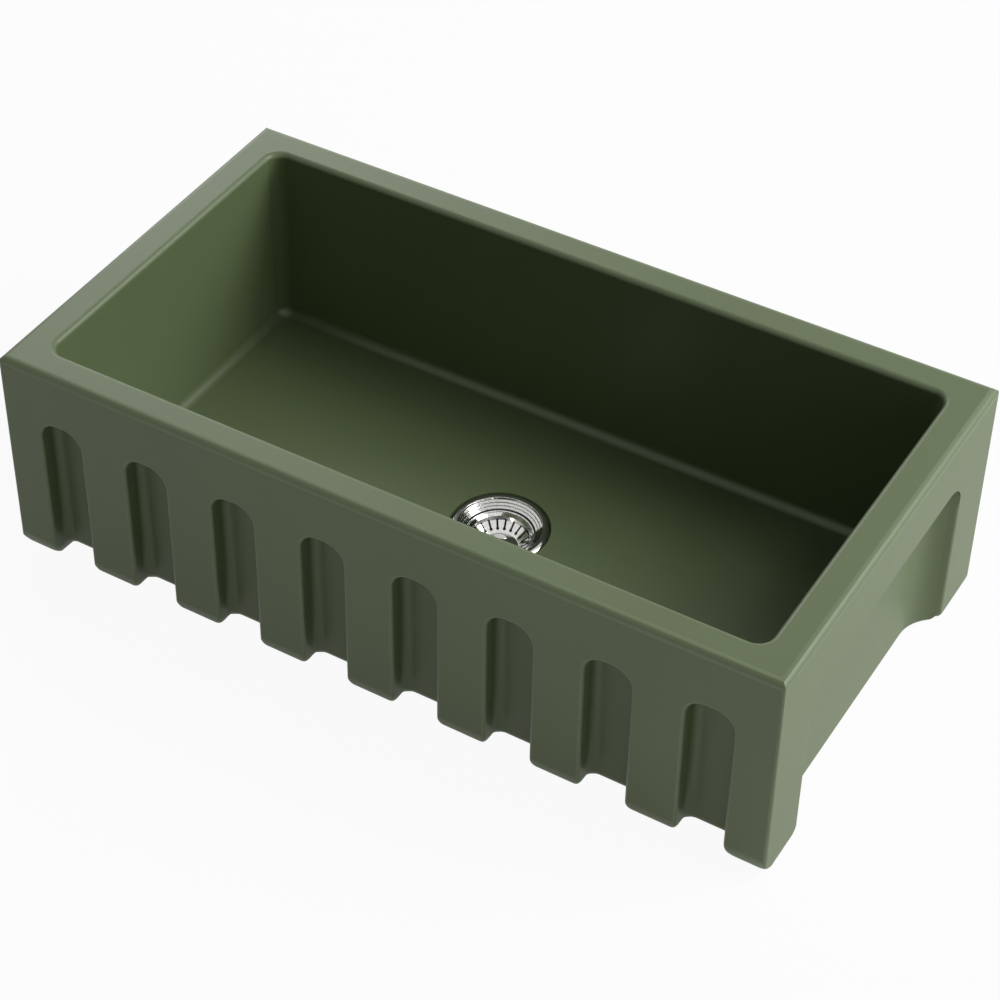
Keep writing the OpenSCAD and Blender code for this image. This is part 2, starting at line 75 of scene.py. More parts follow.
MM = 0.001
FULL_TURN = 2 * math.pi
UP = Vector((0, 0, 1))

# An edge that turns more than this stays sharp
SHARP = math.radians(32)
# Turns below these count as flat, or as one plane, and above the last as a straight line
NEARLY_FLAT = math.radians(0.4)
SAME_PLANE = math.radians(0.05)
NEARLY_STRAIGHT = math.radians(178)
# How much of a side one corner's round may take
MOST_OF_SIDE = 0.48
ON_AXIS = 1e-7
WELD = 0.004 * MM
CAD_WELD = 0.002 * MM
CAD_SLIVER = 0.001 * MM
# Points in a shallow arc, and in a thread's turn and its ridge
ARC_STEPS = 10
THREAD_STEPS = 72
RIDGE_SIDES = 6
# Rounds on the edges of the small turned pieces, from the finest up
CRISP_EDGE = 0.2 * MM
FINE_EDGE = 0.3 * MM
EASED_EDGE = 0.5 * MM
SOFT_EDGE = 0.6 * MM


def length(name, description, default):
    """A length in metres that the panel shows."""
    return FloatProperty(name=name, description=description, default=default, min=0,
                         unit="LENGTH", precision=5)


def colour(name, description, default):
    """A colour in linear light that the panel shows."""
    return FloatVectorProperty(name=name, description=description, default=default,
                               size=3, min=0, max=1, subtype="COLOR")


def share(name, description, default, most=1):
    """A plain number that the panel shows."""
    return FloatProperty(name=name, description=description, default=default, min=0, max=most)


class GlazeSettings(bpy.types.PropertyGroup):
    """The sink body's satin glaze."""

    base: colour("Glaze", "Colour of the glaze on a flat face", (0.105, 0.141, 0.0635))
    pale: colour("Thin glaze", "Colour where the glaze runs thin over an edge",
                 (0.150, 0.190, 0.105))
    # Colour of pooled glaze, which is also the colour of the painted shade inside the flutes
    deep: colour("Pooled glaze", "Colour where the glaze gathers in a corner",
                 (0.074, 0.102, 0.041))
    clay: colour("Bare clay", "Colour of the unglazed clay under the feet", (0.62, 0.56, 0.46))
    roughness: share("Roughness", "How matt the glaze is", 0.42)
    smoother: share("Smoother", "How much smoother it is in the grain's low spots", 0.05)
    rougher: share("Rougher", "How much rougher it is on the grain's high spots", 0.07)
    shine: share("Shine", "Strength of the glaze's mirror light", 0.42)
    index: share("Refractive index", "Refractive index of the glaze", 1.5, 3)
    cloud_share: share("Cloud share", "How far the clouds deepen the glaze", 0.22)
    grain_share: share("Grain share", "How far the grain pales the glaze", 0.16)
    grain_bump: share("Grain bump", "Strength of the grain's relief", 0.22)
    grain_depth: length("Grain depth", "Depth of the grain's relief", 0.03 * MM)
    peel_bump: share("Ripple bump", "Strength of the ripple's relief", 0.18)
    peel_depth: length("Ripple depth", "Depth of the ripple's relief", 0.25 * MM)
    speck_size: share("Speck size", "Size of a dark speck, in grains", 3.1, 20)
    speck_share: share("Speck share", "How far a speck deepens the glaze", 0.10)
    foot_h: length("Bare foot", "Height of the unglazed clay over the ground", 0.6 * MM)
    grain: length("Grain", "Size of the fine grain in the surface", 0.45 * MM)
    # Painted shade: how far a flute's walls and back are darkened towards the deep colour
    flute_shade_strength: share("Flute glaze", "How far the glaze pools on a flute's back", 0.9)
    peel: length("Ripple", "Size of the soft ripple in the surface", 14 * MM)
    cloud: length("Cloud", "Size of the slow changes of tone", 160 * MM)


class SteelSettings(bpy.types.PropertyGroup):
    """The stainless steel of the strainer, the basket and the stopper."""

    polished: colour("Polished steel", "Colour of the polished steel", (0.60, 0.60, 0.58))
    polished_rough: share("Polish", "Roughness of the polished steel", 0.045)
    brushed: colour("Brushed steel", "Colour of the brushed steel", (0.74, 0.74, 0.725))
    brushed_rough: share("Brushing", "Roughness of the brushed steel", 0.04)
    smear: length("Smear", "Size of the smears on the steel", 9 * MM)
    mark_depth: length("Marks", "Depth of the turning marks", 0.02 * MM)
    # Painted shade in the strainer's cup: below this depth and off the axis, the polished steel is
    # painted far darker and made rougher
    cup_shade_depth: length("Dull depth", "Depth under the bowl floor of the dull steel", 9.9 * MM)
    cup_shade_tone: share("Dull tone", "Tone of the dull steel", 0.22)
    cup_shade_rough: share("Dull roughness", "Roughness of the dull steel", 0.42)
    cup_shade_from: length("Dull from", "Radius inside which the steel stays polished", 12 * MM)
    cup_shade_to: length("Dull to", "Radius outside which it is fully dull", 14 * MM)


class FittingSettings(bpy.types.PropertyGroup):
    """The cast metal, the rubber and the pressed fibre."""

    cast: colour("Cast metal", "Colour of the cast metal", (0.46, 0.46, 0.45))
    cast_dark: colour("Dark casting", "Its colour in dark patches", (0.30, 0.30, 0.29))
    cast_worn: colour("Worn casting", "Its colour on worn high spots", (0.60, 0.60, 0.58))
    sand: length("Sand", "Size of the casting's sand texture", 0.35 * MM)
    patch: length("Patch", "Size of the casting's dark patches", 7 * MM)
    rubber: colour("Rubber", "Colour of the rubber", (0.014, 0.014, 0.014))
    bloom: colour("Bloom", "Its colour under the grey bloom", (0.040, 0.039, 0.037))
    pit: length("Pit", "Size of the rubber's pits", 0.3 * MM)
    bloom_size: length("Bloom size", "Size of the patches of bloom", 6 * MM)
    fibre: colour("Fibre", "Colour of the pressed fibre", (0.20, 0.125, 0.060))
    fibre_pale: colour("Pale fibre", "Colour of its pale hairs", (0.34, 0.24, 0.135))
    fibre_dark: colour("Dark fibre", "Colour of the dark hairs across", (0.13, 0.075, 0.035))
    hair: length("Hair", "Width of a hair", 1.6 * MM)
    cross_hair: length("Cross hair", "Width of a hair across", 1.9 * MM)


class FrontSettings(bpy.types.PropertyGroup):
    """The soft lower corners of the pillars between the flutes, and of the feet."""

    flutes: IntProperty(name="Flutes", description="Flutes along the front", default=8, min=2)
    pitch: length("Pitch", "From one flute to the next", 100.6 * MM)
    flute_w: length("Flute width", "Width of a flute", 47.5 * MM)
    flute_d: length("Flute depth", "How far a flute's back lies behind the front", 22 * MM)
    flute_top: length("Flute top", "Height of the flutes' arched tops", 190 * MM)
    cove_r: length("Cove", "Radius of the coves in a flute", 10 * MM)
    lift: length("Lift", "Height of the front's lower edge", 12 * MM)
    turn_r: length("Turn", "Radius of the turn under the front", 11 * MM)
    leg_from: length("Front leg", "From the front to the side recess", 65.6 * MM)
    leg_to: length("Back leg", "From the back to the side recess", 67.9 * MM)
    recess_d: length("Recess depth", "Depth of the side recess", 25 * MM)
    pillar_r: length("Pillar corner", "Extra round on a pillar's lower corners", 7 * MM)
    foot_r: length("Foot corner", "Extra round on a foot's lower corner at the flutes", 10 * MM)
    side_r: length("Side corner", "Extra round on the lower edge of the sides", 8.5 * MM)
    leg_r: length("Leg corner", "Extra round on a leg's lower corner at the recess", 9 * MM)


class StrainerSettings(bpy.types.PropertyGroup):
    """The strainer's solid wall, from its lip down to its outlet."""

    barrel_r: length("Barrel radius", "Outer radius of the threaded barrel", 41.5 * MM)
    lip_w: length("Lip width", "Width of the lip", 8.1 * MM)
    lip_rise: length("Lip rise", "Height of the lip over the bowl floor", 1.5 * MM)
    lip_round: length("Lip round", "Width of the round along the lip's outer edge", 4.6 * MM)
    lip_fall: length("Lip fall", "Drop of the lip to its inner edge", 0.2 * MM)
    flange_depth: length("Flange depth", "Depth of the flange's underside", 1.6 * MM)
    mouth_wall: length("Mouth wall", "Wall at the foot of the stepped mouth", 5 * MM)
    ledge_depth: length("Ledge depth", "Depth of the ledge under the basket's rim", 11.3 * MM)
    ledge_w: length("Ledge width", "Width of that ledge", 1.9 * MM)
    cup_depth: length("Cup depth", "Depth of the cup's bottom", 31.4 * MM)
    slope_w: length("Cup slope", "Width of the slope round the cup's bottom", 4.6 * MM)
    throat_r: length("Throat radius", "Radius of the throat over the stopper's seat", 22 * MM)
    throat_gap: length("Throat gap", "How far the throat stands outside the stopper", 1.5 * MM)
    seat_depth: length("Seat depth", "Depth of the stopper's seat", 35.6 * MM)
    seat_w: length("Seat width", "Width of the stopper's seat", 3 * MM)
    seat_t: length("Seat thickness", "Thickness of the stopper's seat", 1.7 * MM)
    outlet_r: length("Outlet radius", "Outer radius of the outlet's thread", 23.9 * MM)
    outlet_t: length("Outlet wall", "Wall of the outlet", 2.5 * MM)
    outlet_l: length("Outlet length", "Length of the outlet's thread", 6.6 * MM)
    neck_gap: length("Neck gap", "How far the barrel's neck stands beyond the thread", 3.4 * MM)
    steps: IntProperty(name="Steps", description="Steps in the mouth", default=3, min=1)
    pitch: length("Thread pitch", "Rise of the thread in one turn", 1.6 * MM)
    thread: length("Thread depth", "Height of the thread's ridge", 0.45 * MM)
    thread_drop: length("Thread drop", "Depth of the thread's upper end", 8 * MM)
    neck_drop: length("Neck drop", "Depth of the neck's shoulder over one step", 3 * MM)
    chamfer: length("Chamfer", "Chamfer at the barrel's foot", 0.6 * MM)
    soft_r: length("Soft edge", "Round on the edges of the lip and the steps", 0.45 * MM)
    crisp_r: length("Crisp edge", "Round on the strainer's other edges", 0.25 * MM)
    cup_round: length("Cup round", "Round at the foot of the cup", 2 * MM)


class BasketSettings(bpy.types.PropertyGroup):
    """The pressed basket that lifts out of the strainer."""

    slots: IntProperty(name="Slots", description="Slots round the basket", default=21, min=3)
    slot_w: length("Slot width", "Width of a slot", 2 * MM)
    slot_end_r: length("Slot end", "Radius of the slot's round end", 1.7 * MM)
    slot_rise: length("Slot rise", "How far the slots run up the steep wall", 1.2 * MM)
    slot_under: length("Under the slots", "Height left under the slots", 1 * MM)
    sheet_t: length("Sheet", "Thickness of the sheet", 0.9 * MM)
    bead_r: length("Rolled rim", "Radius of the rolled rim", 1.1 * MM)
    shelf_w: length("Shelf width", "Width of the sloping shelf inside the rim", 2.6 * MM)
    shelf_h: length("Shelf fall", "Fall of that shelf", 2.9 * MM)
    wall_h: length("Wall height", "Height of the steep wall under the shelf", 4.2 * MM)
    wall_in: length("Wall slope", "How far the steep wall runs in", 0.8 * MM)
    cone_in: length("Cone", "How far the slotted cone runs in", 10 * MM)
    rim_out: length("Rim overhang", "From the rim's middle in to the shelf", 1.4 * MM)
    hole_r: length("Centre hole", "Radius of the hole for the stem", 3.6 * MM)
    shelf_r: length("Shelf bend", "Radius of the bends at the steep wall", 0.9 * MM)
    foot_r: length("Foot bend", "Radius of the bend at the cone's foot", 1.2 * MM)
    slit: length("Slit", "Half the least width of a slot", 0.12 * MM)
    edge: length("Edge", "Round on the sheet's edges", 0.12 * MM)


class StopperSettings(bpy.types.PropertyGroup):
    """The stopper on its stem, under the basket."""

    bore_r: length("Bore", "Radius of the bores round the stem", 3.08 * MM)
    cap_share: share("Cap", "Height of the knob's cap over the knob's height", 0.45)
    neck_share: share("Neck", "Radius of the knob's neck over the knob's radius", 0.5)
    dish: length("Dish", "Depth of the dish in the knob's top", 0.9 * MM)
    knob_rim_w: length("Knob rim", "Width of the rim round that dish", 0.8 * MM)
    groove_gap: length("Groove gap", "Gap round the grip ring in its groove", 0.08 * MM)
    lip_h: length("Rubber lip", "Height of the rubber's soft edge", 1.1 * MM)
    neck_r: length("Neck round", "Round under the knob's cap", 0.8 * MM)
    stem_fit: length("Stem fit", "Gap between the stem and the knob's hole", 0.08 * MM)
    hole_share: share("Knob hole", "Depth of that hole over the knob's height", 0.5)
    nut_edge: length("Nut edge", "Round on the hexagon nut's edges", 0.25 * MM)


class FastenerSettings(bpy.types.PropertyGroup):
    """The washers and the locknut under the sink, and the cross bar in the outlet."""

    fit: length("Thread fit", "Gap between the barrel and the rings round it", 0.2 * MM)
    gasket_fit: length("Gasket fit", "Gap between the barrel's neck and the gasket", 0.6 * MM)
    gasket_edge: length("Gasket edge", "Round on the gasket's edges", 0.4 * MM)
    rubber_edge: length("Washer edge", "Round on the rubber washer's edges", 0.9 * MM)
    fibre_edge: length("Fibre edge", "Round on the fibre washer's edges", 0.15 * MM)
    nut_edge: length("Nut edge", "Round on the locknut's edges", 0.7 * MM)
    cross_edge: length("Cross edge", "Round on the cross bar's edges", 0.35 * MM)
    nut_w: length("Nut width", "Width of the locknut's ring", 11.5 * MM)
    lug_out: length("Lug", "How far a lug stands out of the ring", 6 * MM)
    lug_w: length("Lug width", "Width of a lug", 12 * MM)
    lugs: IntProperty(name="Lugs", description="Lugs round the locknut", default=8, min=2)


class StageSettings(bpy.types.PropertyGroup):
    """The floor, the light and the camera."""

    floor: colour("Floor", "Colour of the floor", (0.74, 0.74, 0.74))
    dust: colour("Floor dust", "Colour of the dust on the floor", (0.78, 0.78, 0.77))
    dust_size: length("Dust size", "Size of the floor's dusty patches", 0.4)
    floor_size: length("Floor size", "Side of the floor", 12)
    floor_gap: length("Floor gap", "Gap between the feet and the floor", 0.2 * MM)
    floor_white: share("Floor white", "How far the camera sees the floor as plain white", 0.94)
    floor_mirrored: share("Floor mirrored", "How far reflections see the floor as plain white", 0.6)
    ambient: share("Room light", "Strength of the even light from the room", 0.08)
    lamp_far: length("Lamp distance", "How far each lamp stands from the sink", 5)
    lamp_size: length("Lamp size", "Side of each square lamp", 2.2)
    low_key: share("Low key lamp", "Watts of the low lamp behind the right end", 121, 1000)
    high_key: share("High key lamp", "Watts of the high lamp behind the right end", 104, 1000)
    side: share("Side lamp", "Watts of the lamp square to the right end", 40, 1000)
    rim: share("Rim lamp", "Watts of the lamp behind the left end", 58, 1000)
    front: share("Front strip", "Watts of the low strip lamp before the front", 34, 1000)
    strip_turn: FloatProperty(name="Strip turn", default=-72,
                              description="Degrees from the right end to the strip")
    strip_w: length("Strip width", "Width of that strip", 5.7)
    strip_h: length("Strip height", "Height of that strip", 0.22)


SETTINGS = {
    "sink_glaze": GlazeSettings,
    "sink_steel": SteelSettings,
    "sink_fittings": FittingSettings,
    "sink_front": FrontSettings,
    "sink_strainer": StrainerSettings,
    "sink_basket": BasketSettings,
    "sink_stopper": StopperSettings,
    "sink_fasteners": FastenerSettings,
    "sink_stage": StageSettings,
}


class Place:
    """Where a CAD node is: its axis, its outer radius, and its heights."""

    def __init__(self, node):
        low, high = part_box(node)
        self.low, self.high = low.z, high.z
        self.radius = (high.x - low.x) / 2
        self.height = high.z - low.z


def drain_axis():
    """The middle of the drain, at the floor's height of zero."""
    low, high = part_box("strainer_body")
    return Vector(((low.x + high.x) / 2, (low.y + high.y) / 2, 0))


def bowl_floor():
    """Height of the bowl floor at the drain."""
    return Place("strainer_body").high - bpy.context.scene.sink_strainer.lip_rise


def soften(corners, steps=4):
    """The closed outline through (x, z, radius) corners, each rounded by its own radius."""
    line = []
    for i, (x, z, radius) in enumerate(corners):
        here = Vector((x, z))
        before = Vector(corners[i - 1][:2]) - here
        after = Vector(corners[(i + 1) % len(corners)][:2]) - here
        inside = before.angle(after)
        if radius <= 0 or inside > NEARLY_STRAIGHT:
            line.append(here)
            continue
        most = MOST_OF_SIDE * min(before.length, after.length)
        reach = min(radius / math.tan(inside / 2), most)
        radius = reach * math.tan(inside / 2)
        before.normalize()
        after.normalize()
        middle = here + (before + after).normalized() * radius / math.sin(inside / 2)
        start = here + before * reach - middle
        end = here + after * reach - middle
        sweep = math.pi - inside
        for k in range(steps + 1):
            t = k / steps
            swing = start * math.sin((1 - t) * sweep) + end * math.sin(t * sweep)
            line.append(middle + swing / math.sin(sweep))
    return line


def revolved(outline, segments=160):
    """A bmesh of a closed outline turned round the Z axis, shut at the axis where it reaches it."""
    bm = bmesh.new()
    rings = []
    for x, z in outline:
        if x < ON_AXIS:
            rings.append([bm.verts.new((0, 0, z))])
            continue
        rings.append([bm.verts.new((x * math.cos(k * FULL_TURN / segments),
                                    x * math.sin(k * FULL_TURN / segments), z))
                      for k in range(segments)])
    for i, ring in enumerate(rings):
        after = rings[(i + 1) % len(rings)]
        for k in range(segments):
            corners = [ring[k % len(ring)], ring[(k + 1) % len(ring)],
                       after[(k + 1) % len(after)], after[k % len(after)]]
            corners = list(dict.fromkeys(corners))
            if len(corners) > 2:
                bm.faces.new(corners)
    bmesh.ops.recalc_face_normals(bm, faces=bm.faces)
    return bm


def shade(bm):
    """Smooths every face and keeps the sharp edges sharp."""
    for face in bm.faces:
        face.smooth = True
    for edge in bm.edges:
        edge.smooth = len(edge.link_faces) != 2 or edge.calc_face_angle() < SHARP


def to_mesh(bm, name):
    """Turns a bmesh into a mesh and frees it."""
    mesh = bpy.data.meshes.new(name)
    bm.to_mesh(mesh)
    bm.free()
    return mesh


def even_normals(piece):
    """Lets the flat faces of a piece keep flat shading beside its rounds."""
    modifier = piece.modifiers.new("Even normals", "WEIGHTED_NORMAL")
    modifier.keep_sharp = True
    modifier.weight = 100


def add_piece(name, mesh, slot, body, *nodes):
    """A finished piece that rides on a body and stands for its CAD nodes."""
    piece = bpy.data.objects.new(name, mesh)
    bpy.context.scene.collection.objects.link(piece)
    mesh.materials.clear()
    mesh.materials.append(finish_of(slot))
    even_normals(piece)
    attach(piece, body)
    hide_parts(*nodes)
    return piece


def turned_piece(name, corners, slot, body, node, segments=160):
    """A piece turned on the drain's axis from its rounded outline."""
    bm = revolved(soften(corners), segments)
    shade(bm)
    bmesh.ops.translate(bm, verts=bm.verts, vec=drain_axis())
    return add_piece(name, to_mesh(bm, name), slot, body, node)


def ring_corners(inner, outer, low, high, radius):
    """Corners of a plain ring's section, rounded alike."""
    return [(inner, low, radius), (outer, low, radius), (outer, high, radius),
            (inner, high, radius)]


class Tree:
    """Adds nodes to a tree, each with its inputs set or joined on."""

    def __init__(self, tree):
        self.tree = tree

    def add(self, kind, inputs=None, **settings):
        node = self.tree.nodes.new(kind)
        for key, value in settings.items():
            setattr(node, key, value)
        for key, value in (inputs or {}).items():
            self.join(value, node.inputs[key])
        return node

    def join(self, value, socket):
        if isinstance(value, bpy.types.NodeSocket):
            self.tree.links.new(value, socket)
        else:
            socket.default_value = value


def new_tree(name, inputs):
    """An empty geometry tree with named inputs, its input node and the inputs' identifiers."""
    group = bpy.data.node_groups.new(name, "GeometryNodeTree")
    keys = {}
    for label, kind in inputs:
        socket = group.interface.new_socket(label, in_out="INPUT", socket_type=kind)
        keys[label] = socket.identifier
    group.interface.new_socket("Geometry", in_out="OUTPUT", socket_type="NodeSocketGeometry")
    tree = Tree(group)
    return tree, tree.add("NodeGroupInput").outputs, keys


def end_tree(tree, geometry, finish):
    """Ends a tree with real geometry in one finish."""
    real = tree.add("GeometryNodeRealizeInstances", {"Geometry": geometry}).outputs[0]
    done = tree.add("GeometryNodeSetMaterial", {"Geometry": real, "Material": finish}).outputs[0]
    tree.add("NodeGroupOutput", {"Geometry": done})


def copies_tree():
    """The tree that sets copies of a segment round the axis and welds them into one ring."""
    tree, given, keys = new_tree("Copies round the axis", [
        ("Geometry", "NodeSocketGeometry"), ("Count", "NodeSocketInt"),
        ("First angle", "NodeSocketFloat"), ("Weld", "NodeSocketFloat"),
        ("Finish", "NodeSocketMaterial")])
    spots = tree.add("GeometryNodePoints", {"Count": given["Count"]}).outputs[0]
    index = tree.add("GeometryNodeInputIndex").outputs[0]
    step = tree.add("ShaderNodeMath", {0: FULL_TURN, 1: given["Count"]},
                    operation="DIVIDE").outputs[0]
    angle = tree.add("ShaderNodeMath", {0: index, 1: step, 2: given["First angle"]},
                     operation="MULTIPLY_ADD").outputs[0]
    turn = tree.add("ShaderNodeCombineXYZ", {"Z": angle}).outputs[0]
    copies = tree.add("GeometryNodeInstanceOnPoints", {
        "Points": spots, "Instance": given["Geometry"], "Rotation": turn}).outputs[0]
    real = tree.add("GeometryNodeRealizeInstances", {"Geometry": copies}).outputs[0]
    welded = tree.add("GeometryNodeMergeByDistance", {
        "Geometry": real, "Distance": given["Weld"]}).outputs[0]
    end_tree(tree, welded, given["Finish"])
    return tree.tree, keys


def thread_tree():
    """The tree that winds a thread's ridge round the axis."""
    tree, given, keys = new_tree("Thread", [
        ("Radius", "NodeSocketFloat"), ("Height", "NodeSocketFloat"),
        ("Turns", "NodeSocketFloat"), ("Ridge", "NodeSocketFloat"),
        ("Finish", "NodeSocketMaterial")])
    spiral = tree.add("GeometryNodeCurveSpiral", {
        "Resolution": THREAD_STEPS, "Rotations": given["Turns"], "Start Radius": given["Radius"],
        "End Radius": given["Radius"], "Height": given["Height"]}).outputs[0]
    section = tree.add("GeometryNodeCurvePrimitiveCircle", {
        "Resolution": RIDGE_SIDES, "Radius": given["Ridge"]}).outputs[0]
    ridge = tree.add("GeometryNodeCurveToMesh", {
        "Curve": spiral, "Profile Curve": section, "Fill Caps": True}).outputs[0]
    end_tree(tree, ridge, given["Finish"])
    return tree.tree, keys


def run_tree(maker, mesh, values):
    """The plain mesh that a geometry tree makes of a mesh."""
    group, keys = maker()
    holder = bpy.data.objects.new("Holder", mesh)
    modifier = holder.modifiers.new("Rule", "NODES")
    modifier.node_group = group
    for label, value in values.items():
        modifier[keys[label]] = value
    bpy.context.scene.collection.objects.link(holder)
    seen = holder.evaluated_get(bpy.context.evaluated_depsgraph_get())
    made = bpy.data.meshes.new_from_object(seen)
    bpy.data.objects.remove(holder)
    if not made.polygons:
        raise RuntimeError(f"{group.name} made nothing")
    return made


def thread(radius, low, high, pitch, ridge, finish):
    """A thread between two heights as a bmesh."""
    values = {"Radius": radius, "Height": high - low, "Turns": (high - low) / pitch,
              "Ridge": ridge, "Finish": finish}
    mesh = run_tree(thread_tree, bpy.data.meshes.new("Thread"), values)
    bm = bmesh.new()
    bm.from_mesh(mesh)
    bmesh.ops.translate(bm, verts=bm.verts, vec=UP * low)
    bmesh.ops.recalc_face_normals(bm, faces=bm.faces)
    return bm


def joined(parts, name):
    """One mesh of several bmeshes on the axis, moved to the drain."""
    whole = bmesh.new()
    for bm in parts:
        shade(bm)
        whole.from_mesh(to_mesh(bm, name))
    bmesh.ops.translate(whole, verts=whole.verts, vec=drain_axis())
    return to_mesh(whole, name)


def cleaned(node):
    """A copy of a CAD mesh with its loose triangles welded, as a bmesh."""
    bm = bmesh.new()
    bm.from_mesh(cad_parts[node].data)
    bmesh.ops.remove_doubles(bm, verts=bm.verts, dist=CAD_WELD)
    bmesh.ops.dissolve_degenerate(bm, edges=bm.edges, dist=CAD_SLIVER)
    return bm


class Finish(Tree):
    """A material on Object coordinates."""

    def __init__(self, name):
        self.material = bpy.data.materials.new(name)
        self.material.use_nodes = True
        super().__init__(self.material.node_tree)
        self.shader = self.tree.nodes["Principled BSDF"]
        self.place = self.add("ShaderNodeTexCoord").outputs["Object"]

    def set(self, **values):
        for key, value in values.items():
            self.join(value, self.shader.inputs[key.replace("_", " ")])

    def noise(self, size, detail=2.0, place=None, roughness=0.5):
        """Noise whose features are about this long."""
        return self.add("ShaderNodeTexNoise", {
            "Vector": place or self.place, "Scale": 1 / size, "Detail": detail,
            "Roughness": roughness}).outputs[0]

    def ranged(self, value, low, high, start=0.35, end=0.65):
        return self.add("ShaderNodeMapRange", {
            "Value": value, "From Min": start, "From Max": end, "To Min": low,
            "To Max": high}).outputs[0]

    def mix(self, factor, first, second, blend="MIX"):
        node = self.add("ShaderNodeMix", data_type="RGBA", blend_type=blend)
        for value, socket in ((factor, 0), (first, 6), (second, 7)):
            if isinstance(value, (tuple, list)) and len(value) == 3:
                value = (*value, 1)
            self.join(value, node.inputs[socket])
        return node.outputs[2]

    def bump(self, height, strength, distance, under=None):
        inputs = {"Height": height, "Strength": strength, "Distance": distance}
        if under:
            inputs["Normal"] = under
        return self.add("ShaderNodeBump", inputs).outputs[0]

    def attribute(self, name):
        return self.add("ShaderNodeAttribute", attribute_name=name).outputs["Fac"]

    def from_axis(self):
        """The way from the drain's axis straight out to the place, and the place's height."""
        centre = self.add("ShaderNodeMapping", {"Vector": self.place, "Location": -drain_axis()})
        parts = self.add("ShaderNodeSeparateXYZ", {"Vector": centre.outputs[0]}).outputs
        flat = self.add("ShaderNodeCombineXYZ", {"X": parts["X"], "Y": parts["Y"]}).outputs[0]
        return flat, parts["Z"]

    def drain_radius(self):
        flat = self.from_axis()[0]
        return self.add("ShaderNodeVectorMath", {0: flat}, operation="LENGTH").outputs["Value"]

    def about_drain(self, round_scale, radius_scale, height_scale):
        """Coordinates for marks that run round the drain's axis, or along it."""
        flat, up = self.from_axis()
        out = self.add("ShaderNodeVectorMath", {0: flat}, operation="NORMALIZE").outputs[0]
        out = self.add("ShaderNodeVectorMath", {0: out, "Scale": round_scale},
                       operation="SCALE").outputs[0]
        along = self.add("ShaderNodeMath", {0: self.drain_radius(), 1: radius_scale},
                         operation="MULTIPLY")
        height = self.add("ShaderNodeMath", {0: up, 1: height_scale, 2: along.outputs[0]},
                          operation="MULTIPLY_ADD").outputs[0]
        lift = self.add("ShaderNodeCombineXYZ", {"Z": height}).outputs[0]
        return self.add("ShaderNodeVectorMath", {0: out, 1: lift}, operation="ADD").outputs[0]


def green_glaze():
    """Satin glaze: fine grain, soft ripple, paler over the edges, deeper in the corners, with
    painted shade in the flutes.
    """
    glaze = bpy.context.scene.sink_glaze
    f = Finish("Satin green glaze")
    cloud = f.ranged(f.noise(glaze.cloud, 3), 0.0, 1.0)
    grain = f.noise(glaze.grain, 2)
    speck = f.ranged(f.noise(glaze.grain * glaze.speck_size, 1), 0.0, glaze.speck_share,
                     0.62, 0.74)
    base = f.mix(f.ranged(cloud, 0.0, glaze.cloud_share, 0, 1), glaze.base[:], glaze.deep[:])
    base = f.mix(f.ranged(grain, 0.0, glaze.grain_share), base, glaze.pale[:])
    base = f.mix(speck, base, glaze.deep[:])
    base = f.mix(f.attribute("thin"), base, glaze.pale[:])
    # Real pooled glaze in the concave corners, plus painted shade on the flutes' walls and backs,
    # in the deep colour
    base = f.mix(f.attribute("pool"), base, glaze.deep[:])
    parts = f.add("ShaderNodeSeparateXYZ", {"Vector": f.place}).outputs
    foot = f.ranged(parts["Z"], 1.0, 0.0, 0.0, glaze.foot_h)
    base = f.mix(foot, base, glaze.clay[:])
    rough = f.ranged(grain, glaze.roughness - glaze.smoother, glaze.roughness + glaze.rougher)
    ripple = f.bump(f.noise(glaze.peel, 2), glaze.peel_bump, glaze.peel_depth)
    normal = f.bump(grain, glaze.grain_bump, glaze.grain_depth, ripple)
    f.set(Base_Color=base, Roughness=rough, Normal=normal, IOR=glaze.index,
          Specular_IOR_Level=glaze.shine)
    return f.material


# Turning marks: their scales round the axis, along the radius and up the height. The long ones also
# lay painted reflections on the steel, as dark streaks round the axis.
FINE_MARKS = (1.6, 9000, 9000)
LONG_MARKS_AND_REFLECTIONS = (42, 300, 300)
# Tones of the fine marks, the painted reflection streaks of the long marks, and the smears against
# the clean steel
FINE_TONE = (0.72, 0.72, 0.72)
REFLECTION_STREAK_TONE = (0.45, 0.45, 0.45)
SMEAR_TONE = (0.66, 0.64, 0.60)


def toned(colour, tone):
    """A colour times a tone for each of its parts."""
    return tuple(c * t for c, t in zip(colour, tone))


